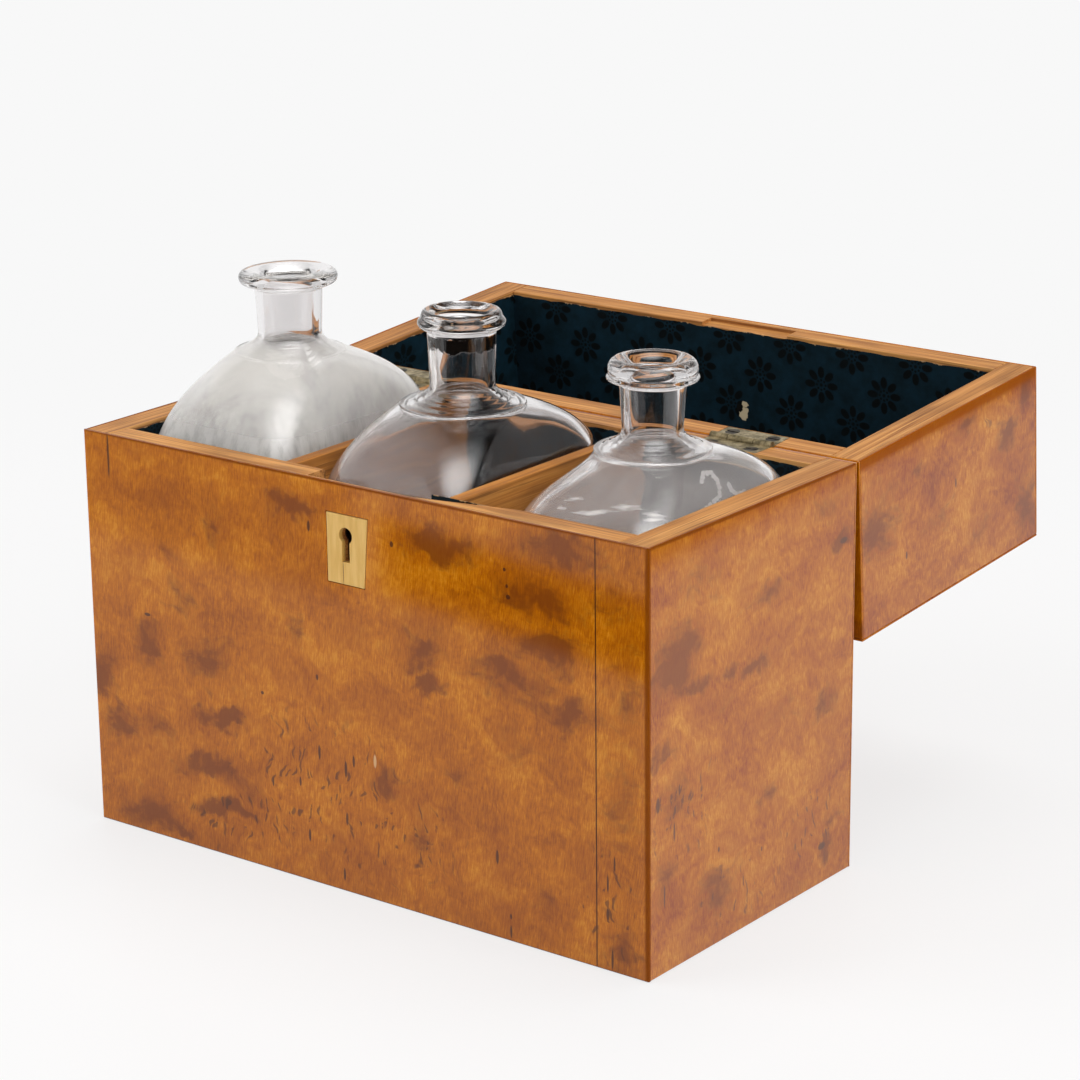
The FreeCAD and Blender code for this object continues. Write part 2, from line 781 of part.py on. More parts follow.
for x, y, z in lock_spots:
    cone(lock_plate, "Subtractive", "y", (x, y, z), "lock_screw_head", "lock_screw_shank", "lock_sheet")
    rod(front_wall, "Subtractive", "y", (x, y, z), "lock_screw_shank", "lock_screw_length")
screw_group("lock_screws", lock_screw, lock_spots, facing_back)

# Blown bottles: an oblong body with rounded corners, a shoulder that swells and is drawn in
# to a round neck, and a lip turned over at the mouth
shoulder_steps = (0.0, 0.25, 0.45, 0.62, 0.76, 0.87, 0.95, 1.0)
corner_share = 0.97


def shoulder_half(bottle, side, full, step, inset):
    # half the width or depth part of the way from the body (step 0) to the neck (step 1)
    neck = "%s_neck/2" % bottle
    body_half = "%s_%s/2" % (bottle, side)
    drawn_in = "(1 - %s^%s_%s)^%s_flare" % (step, bottle, full, bottle)
    return "(%s + (%s - %s)*%s - %s)" % (neck, body_half, neck, drawn_in, inset)


def rounded_section(body, height, half_x, half_y, corner):
    # an oblong of four sides and four equal corner arcs, centred on the bottle's axis
    sketch = body.newObject("Sketcher::SketchObject", body.Name + "_section")
    attach(sketch, body, "z", ("0", "0", height))
    x, y, r = 30.0, 40.0, 10.0
    up = Vector(0, 0, 1)
    quarter = 1.5707963267948966
    corners = ((x - r, -y + r, 3), (x - r, y - r, 0), (-x + r, y - r, 1), (-x + r, -y + r, 2))
    sides = (
        ((-x + r, -y), (x - r, -y)), ((x, -y + r), (x, y - r)),
        ((x - r, y), (-x + r, y)), ((-x, y - r), (-x, -y + r)),
    )
    for (start, end), (cx, cy, turn) in zip(sides, corners):
        sketch.addGeometry(Part.LineSegment(Vector(*start, 0), Vector(*end, 0)), False)
        circle = Part.Circle(Vector(cx, cy, 0), up, r)
        sketch.addGeometry(Part.ArcOfCircle(circle, turn * quarter, (turn + 1) * quarter), False)
    for i in range(8):
        sketch.addConstraint(Sketcher.Constraint("Tangent", i, 2, (i + 1) % 8, 1))
    for i, way in ((0, "Horizontal"), (4, "Horizontal"), (2, "Vertical"), (6, "Vertical")):
        sketch.addConstraint(Sketcher.Constraint(way, i))
    for i in (3, 5, 7):
        sketch.addConstraint(Sketcher.Constraint("Equal", 1, i))
    sketch.addConstraint(Sketcher.Constraint("Symmetric", 0, 1, 4, 1, -1, 1))
    wide = sketch.addConstraint(Sketcher.Constraint("DistanceX", 6, 1, 2, 1, 2 * x))
    deep = sketch.addConstraint(Sketcher.Constraint("DistanceY", 0, 1, 4, 1, 2 * y))
    bend = sketch.addConstraint(Sketcher.Constraint("Radius", 1, r))
    sketch.setExpression("Constraints[%d]" % wide, cell("2*" + half_x))
    sketch.setExpression("Constraints[%d]" % deep, cell("2*" + half_y))
    sketch.setExpression("Constraints[%d]" % bend, cell(corner))
    return sketch


def shoulder_sections(body, bottle, inset):
    # the inner skin's sections sink a little, so that the flat top of the shoulder keeps its glass
    sections = []
    for step in shoulder_steps:
        half_x = shoulder_half(bottle, "width", "full_wide", step, inset)
        half_y = shoulder_half(bottle, "depth", "full_deep", step, inset)
        swell = "glass_corner + glass_corner_swell*%s - %s" % (4 * step * (1 - step), inset)
        corner = "min(%s, %s*%s)" % (swell, corner_share, half_x)
        height = "%s_shoulder + (%s_neck_foot - %s_shoulder - %s)*%s" % (bottle, bottle, bottle, inset, step)
        sections.append(rounded_section(body, height, half_x, half_y, corner))
    return sections


def loft(body, kind, sections):
    feature = body.newObject("PartDesign::%sLoft" % kind, body.Name + "_loft")
    feature.Profile = sections[0]
    feature.Sections = sections[1:]
    return feature


def is_ring(edge, diameter):
    # a level round edge of the given size
    if not isinstance(edge.Curve, Part.Circle):
        return False
    off_size = abs(2 * edge.Curve.Radius - diameter)
    return max(off_size, edge.BoundBox.ZLength) < same_place


def blown_bottle(bottle):
    body = new_body("bottle_" + bottle)
    body.setExpression("Placement.Base.x", cell(bottle + "_across"))
    body.setExpression("Placement.Base.y", cell(bottle + "_back"))
    body.setExpression("Placement.Base.z", cell("base_thick + bottle_seat"))
    foot = rounded_section(body, "0", bottle + "_width/2", bottle + "_depth/2", "glass_corner")
    pad(body, foot, bottle + "_shoulder")
    loft(body, "Additive", shoulder_sections(body, bottle, "0"))
    neck_sink = "glass_wall/2"
    cone(body, "Additive", "z", ("0", "0", "%s_neck_foot - %s" % (bottle, neck_sink)),
         bottle + "_neck", bottle + "_neck_top",
         "%s_tall - %s_lip_tall - %s_neck_foot + %s" % (bottle, bottle, bottle, neck_sink))
    rod(body, "Additive", "z", ("0", "0", "%s_tall - %s_lip_tall" % (bottle, bottle)),
        bottle + "_lip", bottle + "_lip_tall")
    fillet(body, bottle + "_lip_tall*lip_round_share", lambda edge: is_ring(edge, sizes[bottle + "_lip"]))
    fillet(body, "glass_foot_round", lambda edge: edge.BoundBox.ZMax < body.Shape.BoundBox.ZMin + same_place)

    hollow = rounded_section(
        body, bottle + "_shoulder",
        "(%s_width/2 - glass_wall)" % bottle,
        "(%s_depth/2 - glass_wall)" % bottle,
        "glass_corner - glass_wall",
    )
    pocket(body, hollow, bottle + "_shoulder - glass_floor")
    loft(body, "Subtractive", shoulder_sections(body, bottle, "glass_wall"))
    rod(body, "Subtractive", "z", ("0", "0", "%s_neck_foot - 2*glass_wall" % bottle), bottle + "_bore",
        "%s_tall - %s_neck_foot + 2*glass_wall" % (bottle, bottle))
    fillet(body, "mouth_round", lambda edge: is_ring(edge, sizes[bottle + "_bore"])
           and edge.BoundBox.ZMin > body.Shape.BoundBox.ZMax - same_place)
    return body


for bottle in ("left", "middle", "right"):
    blown_bottle(bottle)

# Ease the upright corners of the veneered case and lid
for sheet_body, face in (
    (front_veneer, -sizes["box_depth"] / 2),
    (front_veneer_strip, -sizes["box_depth"] / 2),
    (back_veneer, sizes["box_depth"] / 2),
):
    round_corners(sheet_body, face)

doc.recompute()
for piece in doc.Objects:
    if "Invalid" in piece.State or "Error" in piece.State:
        raise RuntimeError("%s failed: %s" % (piece.Label, piece.State))
for piece in subparts:
    if piece.Shape.isNull() or not piece.Shape.isValid():
        raise RuntimeError("%s has no valid shape" % piece.Label)

os.makedirs("parts", exist_ok=True)
for piece in subparts:
    piece.Shape.exportStep("parts/%s.step" % piece.Label)
    print(piece.Label, len(piece.Shape.Solids), round(piece.Shape.Volume, 1))
print(len(subparts), "sub-parts")
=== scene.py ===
import json
import math

import bmesh
import bpy
from mathutils import Matrix, Vector, noise


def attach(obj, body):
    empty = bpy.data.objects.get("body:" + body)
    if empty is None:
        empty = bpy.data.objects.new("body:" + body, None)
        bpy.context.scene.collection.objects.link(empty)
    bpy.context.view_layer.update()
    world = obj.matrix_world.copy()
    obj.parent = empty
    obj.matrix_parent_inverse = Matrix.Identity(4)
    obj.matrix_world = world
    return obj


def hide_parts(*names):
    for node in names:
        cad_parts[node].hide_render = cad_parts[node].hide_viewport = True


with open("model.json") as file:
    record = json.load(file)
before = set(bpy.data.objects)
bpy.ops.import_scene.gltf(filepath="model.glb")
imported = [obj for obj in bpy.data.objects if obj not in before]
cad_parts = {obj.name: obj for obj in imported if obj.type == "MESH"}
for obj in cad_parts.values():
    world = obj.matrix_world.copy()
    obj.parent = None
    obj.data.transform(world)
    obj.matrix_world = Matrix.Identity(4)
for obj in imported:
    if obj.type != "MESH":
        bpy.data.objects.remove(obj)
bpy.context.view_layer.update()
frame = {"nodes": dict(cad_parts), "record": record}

nodes = frame["nodes"]
record = frame["record"]
bodyOf = {node: body for body, members in record["behaviour"]["bodies"].items() for node in members}
mm = 0.001


def linear(hexText):
    # sRGB hex to the linear colour that shaders read
    parts = [int(hexText[i:i + 2], 16) / 255 for i in (1, 3, 5)]
    return tuple(c / 12.92 if c <= 0.04045 else ((c + 0.055) / 1.055) ** 2.4 for c in parts) + (1.0,)


shading = {}  # holds the node tree being filled


def addNode(kind, inputs=None, stops=None, out=0, **settings):
    # adds one shader node with its settings and links, and hands back the output asked for
    tree = shading["tree"]
    node = tree.nodes.new("ShaderNode" + kind)
    for name, value in settings.items():
        setattr(node, name, value)
    for name, value in (inputs or {}).items():
        if isinstance(value, bpy.types.NodeSocket):
            tree.links.new(value, node.inputs[name])
        else:
            node.inputs[name].default_value = value
    if stops:
        while len(node.color_ramp.elements) < len(stops):
            node.color_ramp.elements.new(1.0)
        for element, (place, colour) in zip(node.color_ramp.elements, stops):
            element.position = place
            element.color = colour
    return node.outputs[out] if node.outputs else node


def openTree(owner):
    # from here on, nodes are added to this material or world
    owner.use_nodes = True
    shading["tree"] = owner.node_tree
    owner.node_tree.nodes.clear()


def newMaterial(name):
    material = bpy.data.materials.new(name)
    openTree(material)
    return material


def maths(operation, *values, clamp=False):
    return addNode("Math", dict(enumerate(values)), operation=operation, use_clamp=clamp)


def times(first, second, clamp=False):
    return maths("MULTIPLY", first, second, clamp=clamp)


def vectors(operation, *values, out=0):
    return addNode("VectorMath", dict(enumerate(values)), out=out, operation=operation)


def noiseAt(vector, detail, roughness=0.5, scale=1.0, distortion=0.0, out="Fac"):
    return addNode("TexNoise", {
        "Vector": vector, "Scale": scale, "Detail": detail, "Roughness": roughness, "Distortion": distortion,
    }, out=out)


def ramped(value, start, end, low=0.0, high=1.0, smooth=False):
    # start becomes low and end becomes high, held beyond both
    return addNode("MapRange", {
        "Value": value, "From Min": start, "From Max": end, "To Min": low, "To Max": high,
    }, interpolation_type="SMOOTHSTEP" if smooth else "LINEAR")


def painted(share, under, tone):
    # a tone laid over a colour by its share
    return addNode("Mix", {0: share, 6: under, 7: linear(tone)}, out=2, data_type="RGBA")


def toneRamp(value, places, tones):
    stops = [(at, linear(tone)) for at, tone in zip(places, tones)]
    return addNode("ValToRGB", {"Fac": value}, stops=stops)


def bumped(height, strength, distance, under=None):
    # distance is in millimetres
    inputs = {"Height": height, "Strength": strength, "Distance": distance * mm}
    if under:
        inputs["Normal"] = under
    return addNode("Bump", inputs)


def movedBy(colour, reach, place):
    # moves a place by a noise colour, half of the reach each way
    away = vectors("SUBTRACT", colour, (0.5, 0.5, 0.5))
    return vectors("MULTIPLY_ADD", away, reach, place)


def finishSurface(inputs):
    addNode("OutputMaterial", {"Surface": addNode("BsdfPrincipled", inputs)})


# camera, fitted to the photograph's vanishing lines
cameraSet = {
    "eye": (0.7793, -0.9653, 0.5054),
    "aim": (0.0020, 0.0455, 0.1134),
    "rollDegrees": -0.59,
    "lens": 112.83,
    "sensor": 36.0,
    "clipEnd": 50,
}


def makeCamera(s):
    data = bpy.data.cameras.new("camera")
    data.lens = s["lens"]
    data.sensor_width = s["sensor"]
    data.clip_end = s["clipEnd"]
    camera = bpy.data.objects.new("camera", data)
    bpy.context.scene.collection.objects.link(camera)
    eye = Vector(s["eye"])
    forward = (Vector(s["aim"]) - eye).normalized()
    right = forward.cross(Vector((0, 0, 1))).normalized()
    up = right.cross(forward)
    roll = math.radians(s["rollDegrees"])
    tiltedRight = right * math.cos(roll) + up * math.sin(roll)
    tiltedUp = up * math.cos(roll) - right * math.sin(roll)
    turn = Matrix((tiltedRight, tiltedUp, -forward)).transposed()
    camera.matrix_world = Matrix.Translation(eye) @ turn.to_4x4()
    bpy.context.scene.camera = camera


makeCamera(cameraSet)
print("camera set")

# pale floor that runs into the backdrop, three soft boxes, and low cards that only the polish sees
stageSet = {
    "floorRadius": 9.0,
    "floorColour": "#F0EFEF",
    "floorRoughness": 0.42,
    "floorSpecular": 0.3,
    "backdropColour": "#F8F8F8",
    "fadeStart": 0.25,
    "fadeEnd": 1.1,
    "fadeShare": 0.75,
    "skyStrength": 0.50,
    "skyWhiteBelow": 0.12,
    "skyDarkAbove": 0.34,
    "skyTilt": 0.5,
    "ceiling": 0.08,
    "ceilingThrough": 0.75,
    "lamps": (
        # place, what it points at, width, height, watts
        ((-1.2, -1.0, 1.15), (0.0, 0.0, 0.12), 1.25, 1.25, 16.6),
        ((1.7, -0.2, 1.2), (0.05, 0.05, 0.12), 1.2, 1.6, 19.5),
        ((0.1, 0.6, 2.2), (0.0, 0.05, 0.12), 1.6, 1.2, 20.0),
    ),
    "cloths": (
        # the soft boxes as gloss and glass show them: place, what it points at, width, height, brightness
        ((0.58, -0.48, 1.35), (0.0, 0.0, 0.17), 2.2, 2.5, 6.0),
    ),
    "clothSize": 1.25,
    "clothFall": 1.6,
    "clothFull": 0.9,
    "cards": (
        # one end, other end, height, colour
        ((0.10, -0.300), (-0.235, -0.357), 0.040, "#1C1A18"),
        ((0.415, 0.25), (0.455, 0.92), 0.050, "#1C1A18"),
        ((-0.235, -0.340), (-0.700, -0.370), 0.080, "#D8D4CE"),
        ((-0.30, -0.62), (0.52, -0.10), 0.32, "#1C1A18"),
    ),
    "cardRoughness": 0.9,
    "bounces": {"max": 24, "glossy": 16, "transmission": 24},
}


def aimed(place, aim):
    return (Vector(aim) - Vector(place)).to_track_quat("-Z", "Y").to_euler()


def hideFrom(piece, *rays):
    for ray in rays:
        setattr(piece, "visible_" + ray, False)


def seenRays():
    # 1 for rays that look at the studio, straight or by way of polish and glass
    path = addNode("LightPath").node.outputs
    seen = maths("MAXIMUM", path["Is Camera Ray"], path["Is Glossy Ray"])
    return maths("MAXIMUM", seen, path["Is Transmission Ray"])


def makeStage(s):
    bpy.ops.object.select_all(action="DESELECT")
    bpy.ops.mesh.primitive_circle_add(vertices=96, radius=s["floorRadius"], fill_type="NGON")
    floor = bpy.context.object
    floor.name = "studioFloor"
    material = newMaterial("matte white board")  # keeps the shadow, and fades to an even backdrop
    board = addNode("BsdfPrincipled", {
        "Base Color": linear(s["floorColour"]), "Roughness": s["floorRoughness"],
        "Specular IOR Level": s["floorSpecular"],
    })
    backdrop = addNode("Emission", {"Color": linear(s["backdropColour"]), "Strength": 1.0})
    place = addNode("TexCoord", out="Object")
    reach = vectors("LENGTH", place, out="Value")
    fade = ramped(reach, s["fadeStart"], s["fadeEnd"], low=s["fadeShare"], smooth=True)
    share = times(fade, seenRays())
    mixed = addNode("MixShader", {0: share, 1: board, 2: backdrop})
    addNode("OutputMaterial", {"Surface": mixed})
    floor.data.materials.append(material)

    world = bpy.data.worlds.new("studio")
    bpy.context.scene.world = world
    openTree(world)
    # white at the horizon and dark overhead, with the white higher on the left, where the room is open
    toward = addNode("SeparateXYZ", {"Vector": addNode("TexCoord", out="Generated")}).node.outputs
    height = maths("MULTIPLY_ADD", toward["X"], s["skyTilt"], toward["Z"])
    sweep = ramped(height, s["skyWhiteBelow"], s["skyDarkAbove"], low=1.0, high=s["ceiling"], smooth=True)
    # what is seen through glass stays pale, so that thick lips don't turn black
    through = addNode("LightPath").node.outputs["Is Transmission Ray"]
    pale = maths("MAXIMUM", sweep, s["ceilingThrough"])
    sweep = addNode("Mix", {0: through, 2: sweep, 3: pale}, data_type="FLOAT")
    strength = addNode("Mix", {0: seenRays(), 2: s["skyStrength"], 3: sweep}, data_type="FLOAT")
    sky = addNode("Background", {"Color": linear(s["backdropColour"]), "Strength": strength})
    addNode("OutputWorld", {"Surface": sky})

    for number, (place, aim, width, height, watts) in enumerate(s["lamps"]):
        lamp = bpy.data.lights.new("softBox%d" % number, "AREA")
        lamp.shape = "RECTANGLE"
        lamp.size = width
        lamp.size_y = height
        lamp.energy = watts
        box = bpy.data.objects.new(lamp.name, lamp)
        bpy.context.scene.collection.objects.link(box)
        box.location = place
        box.rotation_euler = aimed(place, aim)
        hideFrom(box, "glossy", "transmission")

    for number, (place, aim, width, height, shine) in enumerate(s["cloths"]):
        bpy.ops.object.select_all(action="DESELECT")
        bpy.ops.mesh.primitive_plane_add(size=s["clothSize"])
        cloth = bpy.context.object
        cloth.name = "softBoxCloth%d" % number
        cloth.location = place
        cloth.rotation_euler = aimed(place, aim)
        cloth.scale = (width, height, 1)
        # brightest in the middle, with no hard edge
        material = newMaterial("soft box cloth %d" % number)
        point = addNode("TexCoord", out="Object")
        across = vectors("MULTIPLY", point, (s["clothFall"], s["clothFall"], 0))
        glow = addNode("TexGradient", {"Vector": across}, out="Fac", gradient_type="SPHERICAL")
        glow = ramped(glow, 0.0, s["clothFull"], high=shine, smooth=True)
        addNode("OutputMaterial", {"Surface": addNode("Emission", {"Strength": glow})})
        cloth.data.materials.append(material)
        hideFrom(cloth, "camera", "diffuse", "shadow")

    for number, (near, far, height, colour) in enumerate(s["cards"]):
        material = newMaterial("studio card %d" % number)
        finishSurface({"Base Color": linear(colour), "Roughness": s["cardRoughness"]})
        bpy.ops.object.select_all(action="DESELECT")
        bpy.ops.mesh.primitive_plane_add(size=1)
        card = bpy.context.object
        card.name = "darkCard%d" % number
        corners = ((*near, 0), (*far, 0), (*near, height), (*far, height))
        for vertex, corner in zip(card.data.vertices, corners):
            vertex.co = corner
        card.data.materials.append(material)
        hideFrom(card, "camera", "diffuse", "shadow")


makeStage(stageSet)
bpy.context.scene.view_settings.view_transform = "Standard"
# light goes round many times inside thick lips
for kind, most in stageSet["bounces"].items():
    setattr(bpy.context.scene.cycles, kind + "_bounces", most)
print("stage set")

# the case stands square; the lid is laid back on its hinges, so its sheets have a turned frame
lidSet = {"hinge": (0.0, 67.1 * mm, 162.15 * mm), "openDegrees": 176.0}
lidTurn = Matrix.Rotation(math.radians(lidSet["openDegrees"]), 3, (-1, 0, 0))
boxMiddle, wayX, wayY, wayZ = (0, 0, 0), (1, 0, 0), (0, 1, 0), (0, 0, 1)
lidAcross, lidOut, lidUp = (lidTurn @ Vector(way) for way in (wayX, wayY, wayZ))
caseFrame = Matrix.Identity(4)
lidFrame = Matrix.Translation(lidSet["hinge"]) @ lidTurn.to_4x4()


def sheetPlace(origin, across, along):
    # metres on a sheet: X across the grain, Y along it, Z through the thickness
    across, along = Vector(across).normalized(), Vector(along).normalized()
    turn = Matrix((across, along, across.cross(along)))
    shift = -(turn @ Vector(origin))
    point = addNode("TexCoord", out="Object")
    return addNode("Mapping", {"Vector": point, "Location": shift, "Rotation": turn.to_euler()})


def stretched(place, sizes):
    # divides each way by a real size, so that a noise of scale 1 has features of that size
    return vectors("MULTIPLY", place, tuple(1 / (size * mm) for size in sizes))


def sizedNoise(place, sizes, detail, roughness=0.5, out="Fac"):
    return noiseAt(stretched(place, sizes), detail, roughness, out=out)


def spotMask(place, spots, soft):
    # soft-edged ovals: across, along, half width and half height in millimetres, and strength
    mask = 0.0
    for across, along, width, height, strength in spots:
        halfX, halfY = width * soft * mm, height * soft * mm
        shift = (-across * mm / halfX, -along * mm / halfY, 0.0)
        near = vectors("MULTIPLY_ADD", place, (1 / halfX, 1 / halfY, 0.0), shift)
        oval = addNode("TexGradient", {"Vector": near}, out="Fac", gradient_type="SPHERICAL")
        if strength != 1:
            oval = times(oval, strength)
        mask = maths("MAXIMUM", oval, mask)
    return mask


# curly birch: pale wood under yellowed shellac, with clouded figure, brown curl marks and short dark flecks
birchSet = {
    "front": {
        "lean": 7.0,
        "specular": 0.40,
        "figure": (0.32, 0.13, 0.19, 0.36),
        "tones": ("#8B4800", "#A75B00", "#B66900", "#C98018"),
        "stainTone": "#733706",
        "blushTone": "#874004",
        "fleckAndShadeTone": "#3E2010",
        "stains": (
            (-105, 80, 11, 9, 0.9), (-72, 80, 13, 11, 0.95), (-68, 58, 13, 5, 1.2), (-72, 34, 22, 6, 1.05),
            (-68, 19, 14, 4, 1.15), (-131, 62, 8, 12, 1.0), (-122, 45, 9, 10, 0.95), (-106, 9, 14, 9, 1.1),
            (-90, 5, 10, 3, 1.1), (-30, 147, 13, 5, 1.0), (-70, 135, 8, 13, 0.75), (-92, 118, 9, 5, 0.7),
            (-90, 102, 10, 10, 0.65), (40, 148, 19, 7, 1.0), (98, 155, 16, 8, 1.05), (35, 106, 13, 9, 0.95),
            (37, 93, 9, 4, 1.1), (72, 103, 17, 8, 1.0), (100, 95, 14, 8, 0.95), (92, 118, 15, 9, 0.9),
            (85, 136, 20, 6, 0.95), (16, 48, 9, 6, 0.95), (-28, 100, 7, 9, 0.7), (80, 78, 14, 8, 0.6),
            (50, 60, 14, 8, 0.55), (-100, 48, 16, 8, 0.55), (30, 30, 9, 9, 0.75), (92, 20, 12, 9, 0.55),
            (122, 12, 9, 14, 0.85), (128, 104, 8, 12, 0.7), (115, 140, 12, 8, 0.7), (-130, 20, 8, 10, 0.45),
            (123, 62, 10, 30, 0.62), (124, 116, 9, 16, 0.62),
        ),
        "flecks": ((-22, 40, 44, 30, 1), (12, 32, 40, 24, 1), (-60, 18, 30, 14, 1), (118, 24, 14, 22, 1)),
        "marks": (
            (20, 143, 0.9, 1.3, 0.8), (72, 143, 0.7, 0.7, 1), (73, 137, 0.6, 0.7, 1),
            (73.5, 133, 1.0, 0.9, 1),
            (73, 10, 0.5, 1.1, 1), (73, 4, 0.5, 2.6, 1), (-20, 143, 0.7, 2.2, 1), (-105, 92, 1.6, 0.7, 1),
            (-18, 84, 0.6, 1.2, 1), (-46, 72, 0.8, 0.7, 1), (67, 32, 0.7, 2.8, 1), (-122.3, 154, 0.55, 10, 1),
            (-5, 30, 0.6, 2.6, 1), (-18, 54, 0.6, 3.0, 1), (-5, 50, 0.7, 3.4, 1), (-1, 54, 0.6, 2.4, 1),
            (-24, 19, 0.6, 2.6, 1), (-7, 7, 0.6, 2.6, 1), (-42, 37, 0.5, 2.2, 1), (-28, 40, 0.5, 2.0, 1),
            (120, 42, 0.5, 3.4, 0.8), (117, 34, 0.5, 4.0, 0.8), (117, 22, 0.7, 2.6, 1), (119, 5, 0.5, 4.0, 1),
            # the last mark is a dark line along the foot, where the front meets the base: partly dirt, partly
            # painted contact shade
            (112.07, 81, 0.34, 240, 0.8), (0, 0, 400, 0.7, 0.9),
        ),
        "chips": ((9.5, 56.4, 0.7, 2.6, 1),),
        # edges: painted shade along the right upright corner and the top, over the veneer's own dark edge
        # line
        "edges": ((134.8, 92, 1.4, 150, 1), (0, 162.0, 150, 0.8, 1)),
        "edgeLineAndShadeTone": "#743808",
    },
    "side": {
        "lean": -3.0,
        "specular": 0.62,
        "figure": (0.34, 0.13, 0.19, 0.34),
        "tones": ("#893C00", "#A75A00", "#B56B06", "#C98421"),
        "stainTone": "#7A3B02",
        "blushTone": "#964906",
        "fleckAndShadeTone": "#57321D",
        "stains": (
            (-52, 116, 15, 13, 1.0), (-40, 105, 14, 4, 0.9), (-14, 107, 6, 5, 1.0), (0, 103, 9, 4, 1.05),
            (46, 72, 10, 6, 0.85), (-50, 65, 9, 12, 0.75), (47, 16, 6, 5, 1.15), (-25, 22, 13, 8, 0.9),
            (10, 47, 8, 5, 0.75), (-58, 36, 7, 8, 0.95), (5, 124, 16, 5, 0.7), (57, 134, 7, 5, 1.0),
            (-60, 85, 10, 4, 0.8), (-20, 92, 10, 7, 0.6), (20, 78, 12, 7, 0.55), (52, 25, 8, 4, 0.8),
            (-35, 140, 18, 12, 0.6), (30, 8, 14, 5, 0.55), (45, 150, 12, 8, 0.6),
        ),
        "flecks": ((-45, 60, 22, 26, 1), (40, 30, 24, 18, 1), (-10, 18, 30, 12, 1)),
        "marks": (
            (58, 134, 2.6, 1.2, 0.9), (-57, 30, 0.5, 4.5, 1), (-61, 66, 1.2, 3.0, 1), (-48, 68, 0.5, 2.2, 1),
            (-51, 53, 0.6, 4.0, 0.8), (46, 15.5, 2.6, 1.6, 0.8), (5, 28, 0.5, 1.0, 1),
            (-23, 37, 0.7, 1.2, 0.8),
        ),
        # edges: the veneer's dark top edge line, with painted shade
        "edges": ((0, 162.0, 90, 1.1, 1),),
        "edgeLineAndShadeTone": "#743808",
    },
    "lid": {
        "lean": 4.0,
        "specular": 0.62,
        "figure": (0.34, 0.13, 0.19, 0.34),
        "tones": ("#833800", "#A35500", "#B46906", "#C98423"),
        "stainTone": "#763602",
        "blushTone": "#954405",
        "fleckAndShadeTone": "#54301A",
        "stains": (
            (-14, 30, 15, 13, 1.0), (-109, 22, 8, 9, 1.0), (-80, 8, 7, 6, 0.9), (-125, 8, 7, 7, 1.0),
            (-125, 55, 11, 15, 0.95), (-60, 40, 14, 7, 0.7), (-40, 15, 9, 7, 0.7), (-90, 55, 12, 8, 0.6),
        ),
        "flecks": ((-100, 12, 24, 10, 0.5),),
        "marks": ((-70, 30, 0.6, 2.0, 1), (-33, 48, 0.6, 1.6, 1)),
        # edges: the long band along the rim is a painted reflection, darker and more saturated; the short one
        # is a dark line by the hinge
        "edges": ((-68, 0.6, 400, 3.4, 1), (0.2, 30, 1.3, 200, 1)),
        "edgeLineAndShadeTone": "#8E4704",
    },
    "roughness": 0.09,
    "chipTone": "#C89B66",
    "toneStops": (0.40, 0.475, 0.525, 0.60),
    # sizes across, along and through the leaf, in millimetres
    "wander": 22.0,
    "clouds": (34, 30, 34),
    "curl": (10, 6, 12),
    "flake": (2.6, 3.4, 3),
    "grain": (0.38, 4.2, 5),
    "fray": (3, 6, 6),
    "frayReach": (7 * mm, 10 * mm, 0),
    "blush": (20, 16, 20),
    "dashes": (2.9, 13, 30),
    "swell": (18, 30, 18),
    "otherLeaf": 95.0,
}


